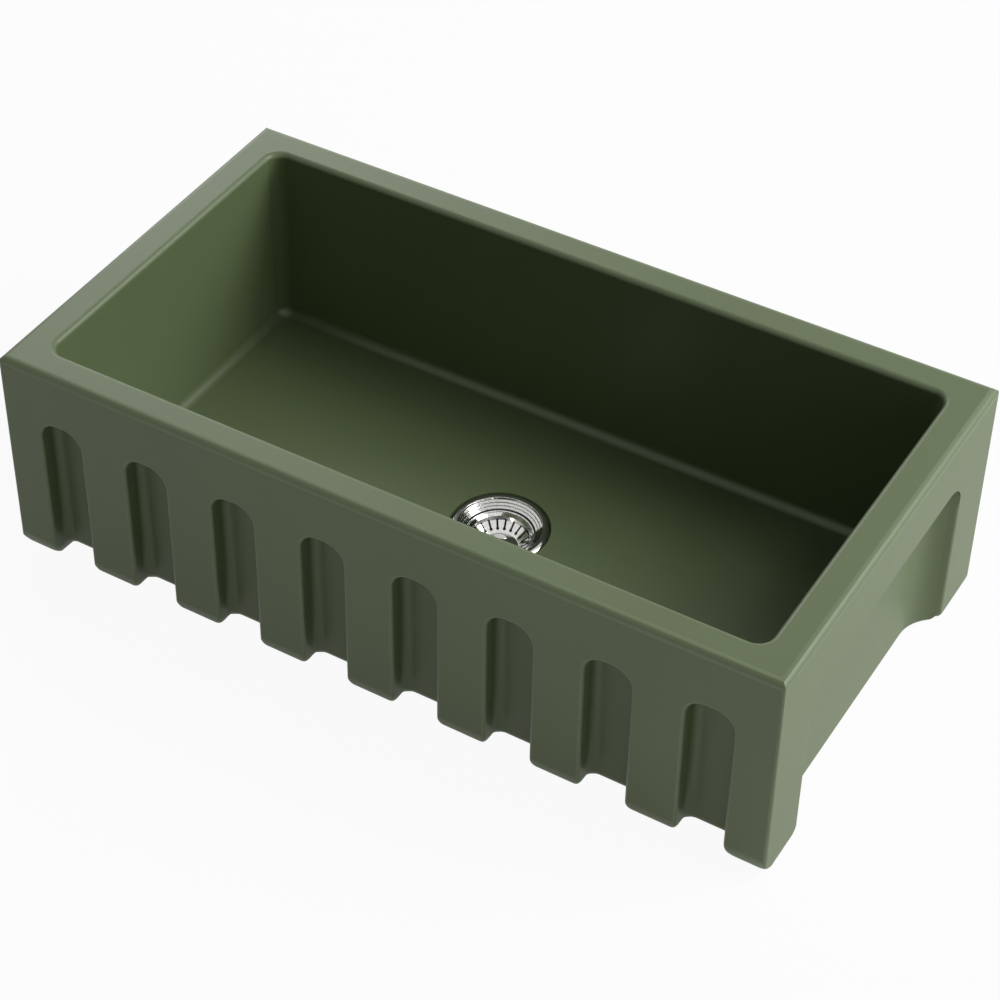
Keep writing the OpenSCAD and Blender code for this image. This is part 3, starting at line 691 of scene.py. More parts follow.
def steel(name, colour, roughness, brush, smudge, wear, cup_shade_below=None):
    """Stainless steel with turning marks and painted dark reflection streaks round the drain's
    axis, and painted shade, darker and rougher, below a height.
    """
    s = bpy.context.scene.sink_steel
    f = Finish(name)
    marks = f.noise(1.0, 3, f.about_drain(*FINE_MARKS))
    long_marks_and_reflections = f.noise(1.0, 2, f.about_drain(*LONG_MARKS_AND_REFLECTIONS))
    smear = f.noise(s.smear, 4)
    tone = f.mix(f.ranged(marks, 0.0, brush), colour, toned(colour, FINE_TONE))
    # Painted reflection: slow dark streaks round the axis
    tone = f.mix(f.ranged(long_marks_and_reflections, 0.0, 0.5, 0.4, 0.7), tone, toned(colour, REFLECTION_STREAK_TONE))
    tone = f.mix(f.ranged(smear, 0.0, wear, 0.45, 0.75), tone, toned(colour, SMEAR_TONE))
    rough = f.add("ShaderNodeMath", {
        0: f.ranged(marks, roughness, roughness + brush * 0.35),
        1: f.ranged(smear, 0.0, smudge)}, operation="ADD").outputs[0]
    # Painted shade inside the strainer's cup: darker and rougher below a height, away from the knob
    # on the axis
    if cup_shade_below is not None:
        height = f.add("ShaderNodeSeparateXYZ", {"Vector": f.place}).outputs["Z"]
        low = f.ranged(height, 1.0, 0.0, cup_shade_below - MM / 2, cup_shade_below + MM / 2)
        off_axis = f.ranged(f.drain_radius(), 0.0, 1.0, s.cup_shade_from, s.cup_shade_to)
        cup_shade = f.add("ShaderNodeMath", {0: low, 1: off_axis}, operation="MULTIPLY").outputs[0]
        tone = f.mix(cup_shade, tone, toned(colour, (s.cup_shade_tone,) * 3))
        rough = f.ranged(cup_shade, rough, s.cup_shade_rough, 0, 1)
    low = f.bump(long_marks_and_reflections, 0.10 + 0.1 * brush, s.mark_depth)
    normal = f.bump(marks, 0.05 + 0.3 * brush, s.mark_depth, low)
    f.set(Base_Color=tone, Metallic=1.0, Roughness=rough, Normal=normal)
    return f.material


def polished_steel():
    s = bpy.context.scene.sink_steel
    return steel("Polished stainless", s.polished[:], s.polished_rough, 0.06, 0.03, 0.25,
                 bowl_floor() - s.cup_shade_depth)


def brushed_steel():
    s = bpy.context.scene.sink_steel
    return steel("Brushed stainless", s.brushed[:], s.brushed_rough, 0.10, 0.03, 0.15)


def dull_metal():
    """Plated casting: a fine sand texture, worn pale over its high spots."""
    s = bpy.context.scene.sink_fittings
    f = Finish("Plain cast metal")
    sand = f.noise(s.sand, 3, roughness=0.7)
    patch = f.noise(s.patch, 4)
    tone = f.mix(f.ranged(patch, 0.0, 0.7), s.cast[:], s.cast_dark[:])
    tone = f.mix(f.ranged(sand, 0.0, 0.35, 0.5, 0.75), tone, s.cast_worn[:])
    f.set(Base_Color=tone, Metallic=0.9, Roughness=f.ranged(patch, 0.38, 0.58),
          Normal=f.bump(sand, 0.35, 0.05 * MM))
    return f.material


def black_rubber():
    """Moulded rubber: matt, finely pitted, with a grey bloom in patches."""
    s = bpy.context.scene.sink_fittings
    f = Finish("Matt black rubber")
    pit = f.noise(s.pit, 2)
    bloom = f.noise(s.bloom_size, 4)
    f.set(Base_Color=f.mix(f.ranged(bloom, 0.0, 0.8), s.rubber[:], s.bloom[:]),
          Roughness=f.ranged(pit, 0.52, 0.70), Normal=f.bump(pit, 0.30, 0.04 * MM))
    return f.material


def brown_fibre():
    """Pressed fibre: short crossed hairs in two browns."""
    s = bpy.context.scene.sink_fittings
    f = Finish("Pressed fibre")
    along, across = [f.add("ShaderNodeMapping", {"Vector": f.place, "Scale": scale}).outputs[0]
                     for scale in ((1, 7, 4), (6, 1, 4))]
    hairs = f.noise(s.hair, 3, along)
    cross = f.noise(s.cross_hair, 3, across)
    tone = f.mix(f.ranged(hairs, 0.0, 1.0, 0.3, 0.7), s.fibre[:], s.fibre_pale[:])
    tone = f.mix(f.ranged(cross, 0.0, 0.5, 0.4, 0.7), tone, s.fibre_dark[:])
    f.set(Base_Color=tone, Roughness=0.88, Normal=f.bump(hairs, 0.4, 0.08 * MM))
    return f.material


MAKERS = {
    "green_glaze": green_glaze, "polished_steel": polished_steel,
    "brushed_steel": brushed_steel, "dull_metal": dull_metal,
    "black_rubber": black_rubber, "brown_fibre": brown_fibre,
}
made_finishes = {}


def finish_of(slot):
    """The material of a slot, made once."""
    if slot not in made_finishes:
        made_finishes[slot] = MAKERS[slot]()
    return made_finishes[slot]


def facets(bm):
    """Groups of faces that lie in one plane."""
    left = set(bm.faces)
    while left:
        group, ready = [], [left.pop()]
        while ready:
            face = ready.pop()
            group.append(face)
            for edge in face.edges:
                if len(edge.link_faces) != 2 or edge.calc_face_angle() > NEARLY_FLAT:
                    continue
                for other in edge.link_faces:
                    if other in left:
                        left.discard(other)
                        ready.append(other)
        yield group


# Where the painted shade starts on its way into a flute, and over which share of the depth it grows
FLUTE_SHADE_FROM, FLUTE_SHADE_OVER = 0.5, 0.45
# A little beyond the whole of a size, to take in its far end
JUST_PAST = 1.02


def shade_in_flute(place):
    """How much painted shade darkens a place on the front, by its depth in a flute."""
    front = bpy.context.scene.sink_front
    depth = (place.y - CAD_BOX[0][1]) / front.flute_d
    if depth > JUST_PAST or place.z > front.flute_top:
        return 0.0
    most = bpy.context.scene.sink_glaze.flute_shade_strength
    return most * max(0.0, min(1.0, (depth - FLUTE_SHADE_FROM) / FLUTE_SHADE_OVER))


def mark_glaze(bm, narrow=5 * MM, few=12, gain=4):
    """Writes where the glaze runs thin and where it pools, on the corners of each face, and puts
    the flutes' painted shade in with the pooling, on every face.

    Only a strip shows it: few faces in one plane, narrow for their length.
    """
    thin = bm.loops.layers.float.new("thin")
    pool = bm.loops.layers.float.new("pool")
    strip = {}
    for group in facets(bm):
        area = sum(face.calc_area() for face in group)
        places = [v.co for face in group for v in face.verts]
        reach = max((a - places[0]).length for a in places)
        is_strip = area < narrow * reach and len(group) < few
        for face in group:
            strip[face] = is_strip
    bend = {}
    for vert in bm.verts:
        total = 0
        for edge in vert.link_edges:
            if len(edge.link_faces) == 2:
                angle = edge.calc_face_angle_signed()
                if abs(angle) < SHARP:
                    total += angle / max(2, len(vert.link_edges) / 2)
        on_border = any(not strip[face] for face in vert.link_faces)
        bend[vert] = (total, on_border)
    for face in bm.faces:
        for loop in face.loops:
            total, on_border = bend[loop.vert]
            value = 0 if on_border or not strip[face] else total
            loop[thin] = max(0.0, min(1.0, value * gain))
            # Painted shade in the flutes, by depth, where it is darker than the pooled glaze
            loop[pool] = max(0.0, min(1.0, -value * gain), shade_in_flute(loop.vert.co))


def corner_rise(into, radius, run_out):
    """How far a corner's round lifts its face, at a distance into the clay from its wall."""
    if into >= radius or into <= -run_out:
        return 0.0
    if into < 0:
        return radius * (1 + into / run_out) ** 2
    return radius - math.sqrt(radius ** 2 - (radius - into) ** 2)


def falling(value, start, end):
    """One up to the start, and softly down to zero at the end."""
    t = max(0.0, min(1.0, (value - start) / (end - start)))
    return 1 - t * t * (3 - 2 * t)


def flute_walls(s, low):
    """Each flute wall's place, the way into the clay, its corner's round and its foot's height."""
    for i in range(s.flutes):
        centre = (i - (s.flutes - 1) / 2) * s.pitch
        for way in (-1, 1):
            wall = centre + way * s.flute_w / 2
            if 0 <= i + way < s.flutes:
                yield wall, way, s.pillar_r, low + s.lift
            else:
                yield wall, way, s.foot_r, low


def cut_across(bm, axis, places, low, high):
    """Cuts the faces in a box by planes square to an axis."""
    faces = [f for f in bm.faces
             if all(min(v.co[k] for v in f.verts) < high[k] and
                    max(v.co[k] for v in f.verts) > low[k] for k in range(3))]
    geom = faces + list({e for f in faces for e in f.edges}) + \
        list({v for f in faces for v in f.verts})
    normal = Vector((0, 0, 0))
    normal[axis] = 1
    for place in places:
        geom = bmesh.ops.bisect_plane(bm, geom=geom, dist=0.01 * MM, plane_co=normal * place,
                                      plane_no=normal)["geom"]


# Cuts that carry the rounds, in turns under the front or in radii from a wall or an edge
TURN_CUTS = (1.5, 1.9, 2.3, 2.7, 3.1, 3.5)
WALL_CUTS = (-1.6, -1.1, -0.7, -0.35, 0.08, 0.18, 0.3, 0.5, 0.75, JUST_PAST)
SIDE_CUTS = (0.04, 0.1, 0.18, 0.28, 0.4, 0.55, 0.7, 0.85, JUST_PAST)
LEG_CUTS = (-0.5, -0.2, 0.1, 0.2, 0.35, 0.5, 0.7, 0.85, JUST_PAST)
# How far above the flutes the flat faces are joined up
JOIN_ABOVE = 40 * MM
# Height over which a round fades out, in its radii, and a leg's run towards the recess
FADE, LEG_FADE, LEG_RUN_OUT = 3, 4.5, 0.6


def soften_front(bm):
    """Rounds the lower corners of the pillars, the sides and the legs a little more."""
    s = bpy.context.scene.sink_front
    (left, front, low), (right, back, _) = CAD_BOX
    flat = [e for e in bm.edges
            if len(e.link_faces) == 2 and max(v.co.z for v in e.verts) < s.flute_top + JOIN_ABOVE
            and e.calc_face_angle() < SAME_PLANE]
    bmesh.ops.dissolve_edges(bm, edges=flat, use_verts=False, use_face_split=False)
    deep = front + s.flute_d + 2 * s.turn_r
    reach = low + s.lift + FADE * s.pillar_r
    walls = list(flute_walls(s, low))
    cut_across(bm, 1, [front + t * s.turn_r for t in TURN_CUTS],
               (left, front - MM, low - MM), (right, deep, reach))
    for wall, way, radius, _ in walls:
        cut_across(bm, 0, [wall + way * t * radius for t in WALL_CUTS],
                   (wall - 2 * radius, front - MM, low - MM),
                   (wall + 2 * radius, deep, reach))
    for edge, way in ((left, 1), (right, -1)):
        cut_across(bm, 0, [edge + way * t * s.side_r for t in SIDE_CUTS],
                   (edge - 2 * s.side_r, front - MM, low - MM),
                   (edge + 2 * s.side_r, back + MM, low + 4 * s.side_r))
    legs = ((front + s.leg_from, -1), (back - s.leg_to, 1))
    for edge, way in legs:
        cut_across(bm, 1, [edge + way * t * s.leg_r for t in LEG_CUTS],
                   (left - MM, edge - 2 * s.leg_r, low - MM),
                   (right + MM, edge + 2 * s.leg_r, low + 4 * s.leg_r))
    for vert in bm.verts:
        x, y, z = vert.co
        rise = 0.0
        if y < deep:
            for wall, way, radius, foot in walls:
                into = way * (x - wall)
                if -s.cove_r < into < radius and z > foot - MM:
                    rise = corner_rise(into, radius, s.cove_r) * \
                        falling(y - front, s.flute_d - s.cove_r, s.flute_d + 1.5 * s.turn_r) * \
                        falling(z - foot, 0, FADE * radius)
        inwards = min(x - left, right - x)
        side = corner_rise(inwards, s.side_r, 1) * falling(z - low, 0, FADE * s.side_r)
        for edge, way in legs:
            into = way * (y - edge)
            side += corner_rise(into, s.leg_r, LEG_RUN_OUT * s.leg_r) * \
                falling(z - low, 0, LEG_FADE * s.leg_r) * \
                falling(inwards, 0.2 * s.recess_d, 0.9 * s.recess_d)
        vert.co.z += max(rise, side)


class SINK_OT_body(bpy.types.Operator):
    """Dresses the sink's body in its satin glaze"""

    bl_idname = "sink.body"
    bl_label = "Glazed body"

    def execute(self, context):
        bm = cleaned("sink_body")
        mark_glaze(bm)
        soften_front(bm)
        shade(bm)
        add_piece("glazed_body", to_mesh(bm, "glazed_body"), "green_glaze", "sink", "sink_body")
        return {"FINISHED"}


def strainer_corners(s):
    """Corners of the strainer's section, inwards over the lip and back up the barrel."""
    zero = bowl_floor()
    flange_r = Place("strainer_body").radius
    lip_r = flange_r - s.lip_w
    mouth_r = s.barrel_r - s.mouth_wall
    cup_r = mouth_r - s.ledge_w
    bottom = zero - s.cup_depth
    seat = zero - s.seat_depth
    outlet_low = Place("strainer_body").low
    outlet_bore_r = s.outlet_r - s.outlet_t
    barrel_low = outlet_low + s.outlet_l
    root_r = s.barrel_r - s.thread
    step_w = (lip_r - mouth_r) / s.steps
    step_h = (s.ledge_depth - s.flange_depth) / (s.steps + 1)
    soft, crisp = s.soft_r, s.crisp_r
    edge = zero - s.flange_depth / 2
    crown = zero + s.lip_rise
    rise = crown - edge
    bow = (s.lip_round ** 2 + rise ** 2) / (2 * rise)
    spread = math.asin(s.lip_round / bow)
    arc = [(flange_r - s.lip_round + bow * math.sin(a), crown - bow + bow * math.cos(a), 0)
           for a in (spread * (1 - k / ARC_STEPS) for k in range(ARC_STEPS + 1))]
    arc[0] = (*arc[0][:2], crisp)
    arc.append((lip_r, crown - s.lip_fall, soft))
    steps = []
    for i in range(s.steps):
        steps.append((lip_r - i * step_w, zero - s.flange_depth - i * step_h, soft))
        steps.append((lip_r - (i + 1) * step_w,
                      zero - s.flange_depth - (i + 0.5) * step_h, soft))
    mouth = [*steps, (mouth_r, zero - s.ledge_depth, soft), (cup_r, zero - s.ledge_depth, crisp)]
    cup = [(cup_r, bottom + s.slope_w / 2, s.cup_round),
           (cup_r - s.slope_w, bottom, s.cup_round),
           (s.throat_r, bottom - s.seat_t / 2, soft), (s.throat_r, seat, crisp)]
    hole_r = s.throat_r - s.throat_gap - s.seat_w
    outlet = [(hole_r, seat, soft), (hole_r, seat - s.seat_t, crisp),
              (outlet_bore_r, seat - s.seat_t, crisp), (outlet_bore_r, outlet_low, crisp),
              (s.outlet_r - s.thread, outlet_low, crisp),
              (s.outlet_r - s.thread, barrel_low, crisp)]
    neck_r = s.barrel_r + s.neck_gap
    shoulder = zero - s.neck_drop - step_h
    barrel = [(root_r - s.chamfer, barrel_low, soft), (root_r, barrel_low + s.chamfer, soft),
              (root_r, shoulder, crisp), (neck_r, shoulder + step_h / 2, crisp),
              (neck_r, zero - s.flange_depth, 0), (flange_r, zero - s.flange_depth, 0)]
    return arc + mouth + cup + outlet + barrel, barrel_low, outlet_low


class SINK_OT_strainer(bpy.types.Operator):
    """Turns the strainer's body, with its lip, its stepped mouth and its threads"""

    bl_idname = "sink.strainer"
    bl_label = "Strainer body"

    def execute(self, context):
        s = context.scene.sink_strainer
        finish = finish_of("polished_steel")
        corners, barrel_low, outlet_low = strainer_corners(s)
        wall = revolved(soften(corners, 3), 192)
        threads = [thread(radius - s.thread, low, high, s.pitch, s.thread, finish)
                   for radius, low, high in (
                       (s.barrel_r, barrel_low + s.pitch, bowl_floor() - s.thread_drop),
                       (s.outlet_r, outlet_low + s.thread, barrel_low - s.thread))]
        add_piece("strainer_wall", joined([wall, *threads], "strainer_wall"),
                  "polished_steel", "sink", "strainer_body")
        return {"FINISHED"}


class SINK_OT_seals(bpy.types.Operator):
    """Turns the gasket under the flange and the two washers under the sink"""

    bl_idname = "sink.seals"
    bl_label = "Gasket and washers"

    def execute(self, context):
        barrel = context.scene.sink_strainer
        s = context.scene.sink_fasteners
        neck_r = barrel.barrel_r + barrel.neck_gap + s.gasket_fit
        bore_r = barrel.barrel_r + s.fit
        for name, inner, edge, slot, node in (
                ("gasket_ring", neck_r, s.gasket_edge, "black_rubber", "flange_gasket"),
                ("rubber_washer", bore_r, s.rubber_edge, "black_rubber", "under_washer"),
                ("fibre_ring", bore_r, s.fibre_edge, "brown_fibre", "fibre_washer")):
            ring = Place(node)
            turned_piece(name, ring_corners(inner, ring.radius, ring.low, ring.high, edge),
                         slot, "sink", node)
        return {"FINISHED"}


def sector(columns, low, high):
    """A ring's sector from (inner point, outer point) columns, open at its two cut ends."""
    bm = bmesh.new()
    rows = []
    for inner, outer in columns:
        rows.append([bm.verts.new((*inner, low)), bm.verts.new((*outer, low)),
                     bm.verts.new((*outer, high)), bm.verts.new((*inner, high))])
    for first, second in zip(rows, rows[1:]):
        for k in range(4):
            corners = [first[k], first[(k + 1) % 4], second[(k + 1) % 4], second[k]]
            bm.faces.new(corners)
    return bm


def polar(radius, angle):
    return (radius * math.cos(angle), radius * math.sin(angle))


def nut_columns(s, inner_r, outer_r, parts=6, near=0.999):
    """Columns of one share of the locknut, with a lug in its middle.

    The arc on either side of the lug has so many parts, and the lug's inner ends lie near its
    roots, just inside them.
    """
    half = FULL_TURN / s.lugs / 2
    root = math.asin(s.lug_w / 2 / outer_r)
    flank = outer_r + s.lug_out
    columns = [(polar(inner_r, a), polar(outer_r, a))
               for a in (-half + (half - root) * k / parts for k in range(parts + 1))]
    for side in (-1, 1):
        columns.append((polar(inner_r, side * root * near), (flank, side * s.lug_w / 2)))
    columns += [(polar(inner_r, a), polar(outer_r, a))
                for a in (root + (half - root) * k / parts for k in range(parts + 1))]
    return columns


def ring_of(columns, low, high, count, first, finish):
    """A whole ring welded from copies of one sector, as a bmesh."""
    mesh = run_tree(copies_tree, to_mesh(sector(columns, low, high), "Sector"), {
        "Count": count, "First angle": first, "Weld": WELD, "Finish": finish})
    bm = bmesh.new()
    bm.from_mesh(mesh)
    bmesh.ops.recalc_face_normals(bm, faces=bm.faces)
    return bm


def bevel(piece, width, segments=2, angle=math.radians(40)):
    """Rounds a piece's sharp edges, ahead of its even normals."""
    modifier = piece.modifiers.new("Worn edges", "BEVEL")
    modifier.width = width
    modifier.segments = segments
    modifier.limit_method = "ANGLE"
    modifier.angle_limit = angle
    piece.modifiers.move(len(piece.modifiers) - 1, 0)


class SINK_OT_fasteners(bpy.types.Operator):
    """Builds the lugged locknut under the sink and the cross bar in the outlet"""

    bl_idname = "sink.fasteners"
    bl_label = "Locknut and cross bar"

    def execute(self, context):
        s = context.scene.sink_fasteners
        barrel_r = context.scene.sink_strainer.barrel_r
        metal = finish_of("dull_metal")
        nut = Place("locknut")
        ring = ring_of(nut_columns(s, barrel_r + s.fit, barrel_r + s.nut_w), nut.low, nut.high,
                       s.lugs, FULL_TURN / s.lugs / 2, metal)
        piece = add_piece("lugged_nut", joined([ring], "lugged_nut"), "dull_metal", "sink",
                          "locknut")
        bevel(piece, s.nut_edge)
        bm = cleaned("cross_bar")
        bmesh.ops.dissolve_limit(bm, angle_limit=math.radians(0.2), verts=bm.verts,
                                 edges=bm.edges)
        shade(bm)
        piece = add_piece("outlet_cross", to_mesh(bm, "outlet_cross"), "dull_metal", "sink",
                          "cross_bar")
        bevel(piece, s.cross_edge)
        return {"FINISHED"}


def basket_rows(s, end_steps=8):
    """(radius, height, half the slot's width) rows down the basket's inner face."""
    rim = Place("basket_cup")
    rim_in_r = rim.radius - s.bead_r - s.rim_out
    top, foot = rim.high - s.bead_r, rim.low + s.sheet_t
    shelf = (rim_in_r - s.shelf_w, top - s.shelf_h)
    cone_top = (shelf[0] - s.wall_in, shelf[1] - s.wall_h)
    cone_foot = (cone_top[0] - s.cone_in, foot)
    outline = soften([(rim_in_r, top, 0), (*shelf, s.shelf_r), (*cone_top, s.shelf_r),
                      (*cone_foot, s.foot_r), (s.hole_r, foot, 0), (s.hole_r, top, 0)], 3)[:-1]
    slot_top = cone_top[1] + s.slot_rise
    middle = foot + s.slot_under + s.slot_end_r
    lean = math.hypot(1, s.cone_in / (cone_top[1] - foot))
    end_top = middle + s.slot_end_r / lean
    heights = [slot_top, (slot_top + end_top) / 2, end_top]
    heights += [middle + s.slot_end_r / lean * math.cos(math.pi * k / end_steps)
                for k in range(1, end_steps + 1)]
    slot_foot = heights[-1]
    rows = [(r, z, None) for r, z in outline if not slot_foot <= z <= slot_top]
    levels = heights + [z for r, z in outline if slot_foot < z < slot_top]
    for z in levels:
        drop = (middle - z) * lean
        half = math.sqrt(max(s.slot_end_r ** 2 - drop ** 2, 0))
        if drop < 0:
            half = max(half, s.slot_w / 2)
        rows.append((radius_at(outline, z), z, max(half, s.slit)))
    return sorted(rows, key=lambda row: (-row[1], -row[0]))


def radius_at(outline, height):
    """Radius of a falling outline at a height."""
    for (r, z), (next_r, next_z) in zip(outline, outline[1:]):
        if next_z <= height <= z and next_z < z:
            return r + (next_r - r) * (z - height) / (z - next_z)
    raise ValueError("The height lies outside the outline")


def basket_segment(s):
    """One share of the pressed sheet, with a keyhole slot in its middle, as a bmesh."""
    rows = basket_rows(s)
    share_half = FULL_TURN / s.slots / 2
    bm = bmesh.new()
    grid = []
    last = s.slot_w / 2
    for r, z, half in rows:
        last = half or last
        inner = min(math.asin(min(last / r, 1)), share_half * 0.6)
        angles = [-share_half, -(share_half + inner) / 2, -inner, 0, inner,
                  (share_half + inner) / 2, share_half]
        grid.append([bm.verts.new((*polar(r, a), z)) for a in angles])
    for i in range(len(rows) - 1):
        in_slot = rows[i][2] and rows[i + 1][2]
        for k in range(6):
            if not (in_slot and k in (2, 3)):
                bm.faces.new([grid[i][k], grid[i + 1][k], grid[i + 1][k + 1], grid[i][k + 1]])
    loose = [v for v in bm.verts if not v.link_faces]
    bmesh.ops.delete(bm, geom=loose, context="VERTS")
    return bm


def basket_shell(s, finish):
    """The pressed sheet with all its slots and its thickness, as a bmesh."""
    mesh = run_tree(copies_tree, to_mesh(basket_segment(s), "Segment"), {
        "Count": s.slots, "First angle": FULL_TURN / 4, "Weld": WELD, "Finish": finish})
    holder = bpy.data.objects.new("Holder", mesh)
    bpy.context.scene.collection.objects.link(holder)
    thick = holder.modifiers.new("Sheet", "SOLIDIFY")
    thick.thickness = s.sheet_t
    thick.offset = 1
    thick.use_even_offset = True
    seen = holder.evaluated_get(bpy.context.evaluated_depsgraph_get())
    solid = bpy.data.meshes.new_from_object(seen)
    bpy.data.objects.remove(holder)
    bm = bmesh.new()
    bm.from_mesh(solid)
    bmesh.ops.recalc_face_normals(bm, faces=bm.faces)
    return bm


class SINK_OT_basket(bpy.types.Operator):
    """Presses the slotted basket, with its rolled rim, its bush and its grip ring"""

    bl_idname = "sink.basket"
    bl_label = "Basket"

    def execute(self, context):
        s = context.scene.sink_basket
        stopper = context.scene.sink_stopper
        finish = finish_of("brushed_steel")
        rim = Place("basket_cup")
        bead_r, bead_z = rim.radius - s.bead_r, rim.high - s.bead_r
        bead = [(bead_r + s.bead_r * math.cos(FULL_TURN * k / 16),
                 bead_z + s.bead_r * math.sin(FULL_TURN * k / 16)) for k in range(16)]
        parts = [basket_shell(s, finish), revolved(bead, 168)]
        piece = add_piece("slotted_basket", joined(parts, "slotted_basket"), "brushed_steel",
                          "basket", "basket_cup")
        bevel(piece, s.edge)
        bush = Place("guide_bush")
        grip = Place("grip_ring")
        gap = stopper.groove_gap
        corners = [(stopper.bore_r, bush.low, 0), (bush.radius, bush.low, CRISP_EDGE),
                   (bush.radius, bush.high, SOFT_EDGE), (stopper.bore_r, bush.high, FINE_EDGE),
                   (stopper.bore_r, grip.high + gap, 0), (grip.radius + gap, grip.high + gap, 0),
                   (grip.radius + gap, grip.low - gap, 0), (stopper.bore_r, grip.low - gap, 0)]
        turned_piece("basket_bush", corners, "dull_metal", "basket", "guide_bush", 96)
        turned_piece("grip_band", ring_corners(stopper.bore_r, grip.radius, grip.low, grip.high,
                                               EASED_EDGE),
                     "black_rubber", "basket", "grip_ring", 96)
        return {"FINISHED"}


def knob_corners(s, stem_r):
    """Corners of the knob's section, from its dish down and round its blind hole."""
    knob = Place("knob")
    cap = knob.height * s.cap_share
    neck = knob.radius * s.neck_share
    dish_r = knob.radius - s.knob_rim_w
    bowl_r = (dish_r ** 2 + s.dish ** 2) / (2 * s.dish)
    spread = math.asin(dish_r / bowl_r)
    crown = [(bowl_r * math.sin(spread * k / ARC_STEPS),
              knob.high - s.dish + bowl_r - bowl_r * math.cos(spread * k / ARC_STEPS), 0)
             for k in range(ARC_STEPS)]
    rim = [(dish_r, knob.high, FINE_EDGE), (knob.radius, knob.high, FINE_EDGE),
           (knob.radius, knob.high - cap, EASED_EDGE)]
    hole_r = stem_r + s.stem_fit
    hole_top = knob.low + knob.height * s.hole_share
    foot = [(neck, knob.high - cap, s.neck_r), (neck, knob.low, FINE_EDGE),
            (hole_r, knob.low, CRISP_EDGE), (hole_r, hole_top, 0), (0, hole_top, 0)]
    return crown + rim + foot


def hexagon_nut(place, bore_r, sides=6, parts=6):
    """A hexagon nut as a bmesh: its bore has so many parts for each side."""
    bm = bmesh.new()
    whole = sides * parts
    rows = []
    for z in (place.low, place.high):
        outer = [bm.verts.new((*polar(place.radius, k * FULL_TURN / sides), z))
                 for k in range(sides)]
        inner = [bm.verts.new((*polar(bore_r, k * FULL_TURN / whole), z)) for k in range(whole)]
        rows.append((outer, inner))
    (low_out, low_in), (high_out, high_in) = rows
    for k in range(sides):
        after = (k + 1) % sides
        bm.faces.new([low_out[k], low_out[after], high_out[after], high_out[k]])
        for outer, inner in rows:
            arc = [inner[(parts * k + j) % whole] for j in range(parts + 1)]
            bm.faces.new([outer[k], outer[after], *reversed(arc)])
    for k in range(whole):
        after = (k + 1) % whole
        bm.faces.new([low_in[k], low_in[after], high_in[after], high_in[k]])
    bmesh.ops.recalc_face_normals(bm, faces=bm.faces)
    return bm


class SINK_OT_stopper(bpy.types.Operator):
    """Turns the stopper: its stem, knob, plate, rubber disc and nut"""

    bl_idname = "sink.stopper"
    bl_label = "Stopper"

    def execute(self, context):
        s = context.scene.sink_stopper
        stem, plate, disc = Place("stem"), Place("stopper_plate"), Place("stopper_disc")
        turned_piece("stopper_stem", [(0, stem.low, 0), (stem.radius, stem.low, SOFT_EDGE),
                                      (stem.radius, stem.high, FINE_EDGE), (0, stem.high, 0)],
                     "brushed_steel", "stopper", "stem", 64)
        turned_piece("lift_knob", knob_corners(s, stem.radius), "polished_steel", "stopper",
                     "knob", 96)
        turned_piece("backing_plate", ring_corners(s.bore_r, plate.radius, plate.low, plate.high,
                                                   FINE_EDGE),
                     "brushed_steel", "stopper", "stopper_plate", 96)
        corners = [(s.bore_r, disc.low, 0), (disc.radius - 2 * s.lip_h, disc.low, SOFT_EDGE),
                   (disc.radius, disc.low + s.lip_h, SOFT_EDGE),
                   (disc.radius, disc.high, SOFT_EDGE), (s.bore_r, disc.high, 0)]
        turned_piece("rubber_disc", corners, "black_rubber", "stopper", "stopper_disc", 128)
        piece = add_piece("hexagon_nut", joined([hexagon_nut(Place("stem_nut"), s.bore_r)],
                                                "hexagon_nut"),
                          "brushed_steel", "stopper", "stem_nut")
        bevel(piece, s.nut_edge)
        return {"FINISHED"}


CAMERA = {
    "azimuth": math.radians(32.0725), "elevation": math.radians(41.1763),
    "roll": math.radians(-0.42254), "distance": 2.722996, "target": (-0.08268, 0.00249, 0.120),
    "focal": 98.4488, "sensor": 36, "shift": (0.076965, -0.053729), "farthest": 30,
}
# Each square lamp's name, azimuth, elevation and setting
LAMPS = (("Low key lamp", 30, 30, "low_key"), ("High key lamp", 30, 50, "high_key"),
         ("Side lamp", 0, 30, "side"), ("Rim lamp", 135, 30, "rim"))


def add_camera(view):
    """The camera at the photograph's angle."""
    az, el, roll = view["azimuth"], view["elevation"], view["roll"]
    back = Vector((math.sin(az) * math.cos(el), -math.cos(az) * math.cos(el), math.sin(el)))
    side = UP.cross(back).normalized()
    rise = back.cross(side)
    right = math.cos(roll) * side + math.sin(roll) * rise
    over = -math.sin(roll) * side + math.cos(roll) * rise
    place = Matrix((right, over, back)).transposed().to_4x4()
    place.translation = Vector(view["target"]) + back * view["distance"]
    data = bpy.data.cameras.new("Photograph")
    data.sensor_width = view["sensor"]
    data.lens = view["focal"]
    data.shift_x, data.shift_y = view["shift"]
    data.clip_end = view["farthest"]
    camera = bpy.data.objects.new("Photograph", data)
    camera.matrix_world = place
    bpy.context.scene.collection.objects.link(camera)
    bpy.context.scene.camera = camera


def add_lamp(name, azimuth, elevation, far, size, power, height=None):
    """A soft lamp that faces the sink: its azimuth runs from the right end to the back."""
    data = bpy.data.lights.new(name, "AREA")
    data.shape = "RECTANGLE"
    data.size, data.size_y = size, height or size
    data.energy = power
    azimuth, elevation = math.radians(azimuth), math.radians(elevation)
    out = Vector((math.cos(azimuth) * math.cos(elevation),
                  math.sin(azimuth) * math.cos(elevation), math.sin(elevation)))
    lamp = bpy.data.objects.new(name, data)
    lamp.location = out * far
    lamp.rotation_euler = (-out).to_track_quat("-Z", "Y").to_euler()
    bpy.context.scene.collection.objects.link(lamp)


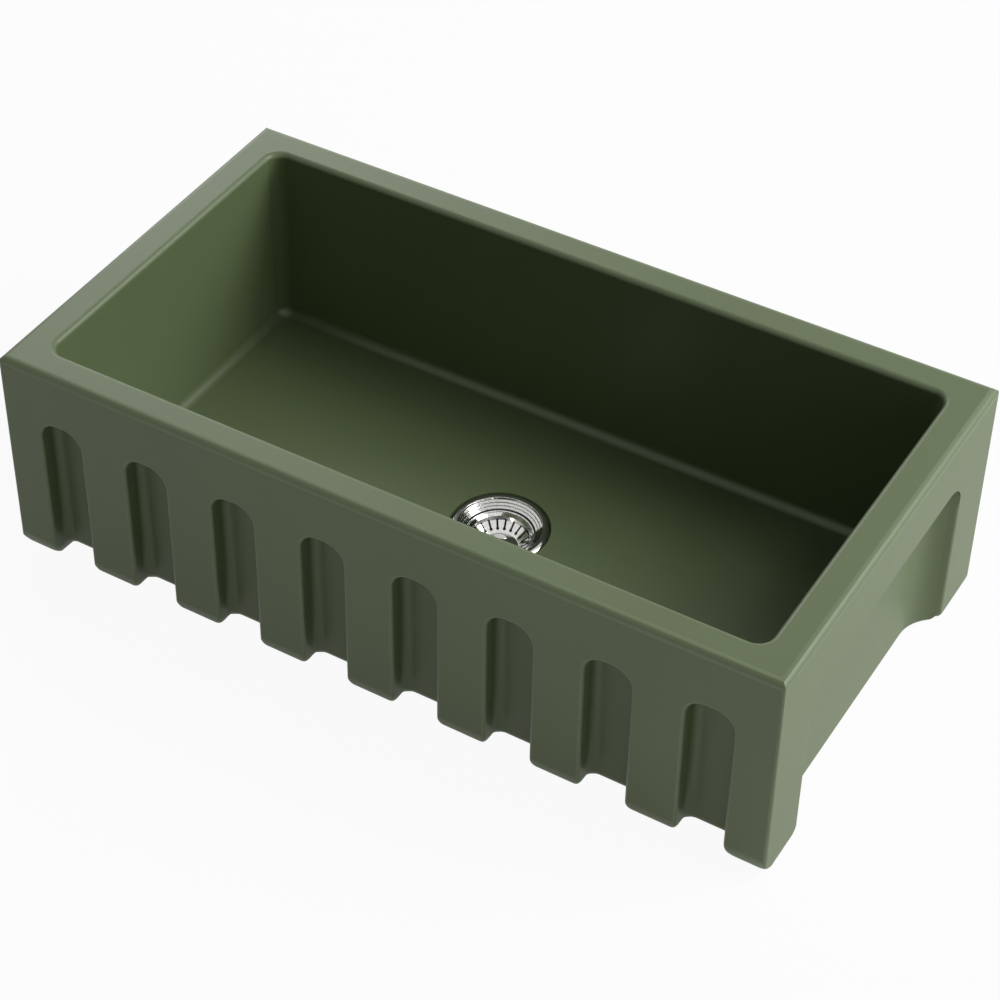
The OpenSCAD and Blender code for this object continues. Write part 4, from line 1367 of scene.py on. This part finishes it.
def seen_directly(tree):
    """One where a ray from the camera, a reflection or a clear piece arrives."""
    rays = tree.add("ShaderNodeLightPath").outputs
    either = tree.add("ShaderNodeMath", {0: rays["Is Camera Ray"], 1: rays["Is Glossy Ray"]},
                      operation="MAXIMUM").outputs[0]
    return tree.add("ShaderNodeMath", {0: either, 1: rays["Is Transmission Ray"]},
                    operation="MAXIMUM").outputs[0]


def floor_finish(s):
    """A pale matt floor that the camera sees as nearly white, with the sink's shadow on it."""
    f = Finish("Pale floor")
    dust = f.noise(s.dust_size, 3)
    tone = f.mix(f.ranged(dust, 0.0, 0.08), s.floor[:], s.dust[:])
    f.set(Base_Color=tone, Roughness=0.9)
    white = f.add("ShaderNodeEmission", {"Color": (1, 1, 1, 1), "Strength": 1.0}).outputs[0]
    rays = f.add("ShaderNodeLightPath").outputs
    mirrored = f.add("ShaderNodeMath", {0: rays["Is Glossy Ray"], 1: s.floor_mirrored},
                     operation="MULTIPLY").outputs[0]
    seen = f.add("ShaderNodeMath", {0: rays["Is Camera Ray"], 1: s.floor_white, 2: mirrored},
                 operation="MULTIPLY_ADD").outputs[0]
    mixed = f.add("ShaderNodeMixShader", {0: seen, 1: f.shader.outputs[0], 2: white}).outputs[0]
    f.join(mixed, f.tree.nodes["Material Output"].inputs["Surface"])
    return f.material


def white_room(s):
    """Even light for the sink, and plain white for the camera and for reflections."""
    world = bpy.data.worlds.new("White room")
    bpy.context.scene.world = world
    world.use_nodes = True
    tree = Tree(world.node_tree)
    tree.tree.nodes.clear()
    dim = tree.add("ShaderNodeBackground", {"Color": (1, 1, 1, 1), "Strength": s.ambient})
    bright = tree.add("ShaderNodeBackground", {"Color": (1, 1, 1, 1), "Strength": 1.0})
    mixed = tree.add("ShaderNodeMixShader", {
        0: seen_directly(tree), 1: dim.outputs[0], 2: bright.outputs[0]}).outputs[0]
    tree.add("ShaderNodeOutputWorld", {"Surface": mixed})


class SINK_OT_stage(bpy.types.Operator):
    """Sets the floor, the lamps, the white room and the camera"""

    bl_idname = "sink.stage"
    bl_label = "Stage"

    def execute(self, context):
        s = context.scene.sink_stage
        bm = bmesh.new()
        bmesh.ops.create_grid(bm, x_segments=1, y_segments=1, size=s.floor_size / 2)
        bmesh.ops.translate(bm, verts=bm.verts, vec=(0, 0, CAD_BOX[0][2] - s.floor_gap))
        floor = bpy.data.objects.new("floor", to_mesh(bm, "floor"))
        floor.data.materials.append(floor_finish(s))
        context.scene.collection.objects.link(floor)
        floor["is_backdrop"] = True
        white_room(s)
        for name, azimuth, elevation, setting in LAMPS:
            add_lamp(name, azimuth, elevation, s.lamp_far, s.lamp_size, getattr(s, setting))
        strip_up = math.degrees(math.asin(s.strip_h / 2 / s.lamp_far))
        add_lamp("Front strip", s.strip_turn, strip_up, s.lamp_far, s.strip_w, s.front, s.strip_h)
        add_camera(CAMERA)
        context.scene.view_settings.view_transform = "Standard"
        return {"FINISHED"}


OPERATORS = (SINK_OT_body, SINK_OT_strainer, SINK_OT_seals, SINK_OT_fasteners, SINK_OT_basket,
             SINK_OT_stopper, SINK_OT_stage)


class SINK_PT_panel(bpy.types.Panel):
    """Lists the sink's settings and the steps that build it."""

    bl_idname = "SINK_PT_panel"
    bl_label = "Farmhouse sink"
    bl_space_type = "VIEW_3D"
    bl_region_type = "UI"
    bl_category = "Sink"

    def draw(self, context):
        for name, group in SETTINGS.items():
            box = self.layout.box()
            for key in group.__annotations__:
                box.prop(getattr(context.scene, name), key)
        for operator in OPERATORS:
            self.layout.operator(operator.bl_idname)


def register():
    for name, group in SETTINGS.items():
        bpy.utils.register_class(group)
        setattr(bpy.types.Scene, name, PointerProperty(type=group))
    for operator in OPERATORS:
        bpy.utils.register_class(operator)
    bpy.utils.register_class(SINK_PT_panel)


def unregister():
    bpy.utils.unregister_class(SINK_PT_panel)
    for operator in reversed(OPERATORS):
        bpy.utils.unregister_class(operator)
    for name, group in SETTINGS.items():
        delattr(bpy.types.Scene, name)
        bpy.utils.unregister_class(group)


def main():
    register()
    for operator in OPERATORS:
        family, action = operator.bl_idname.split(".")
        getattr(getattr(bpy.ops, family), action)()
    boxes = [[list(corner) for corner in box] for box in (CAD_BOX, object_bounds())]


if __name__ == "__main__":
    main()
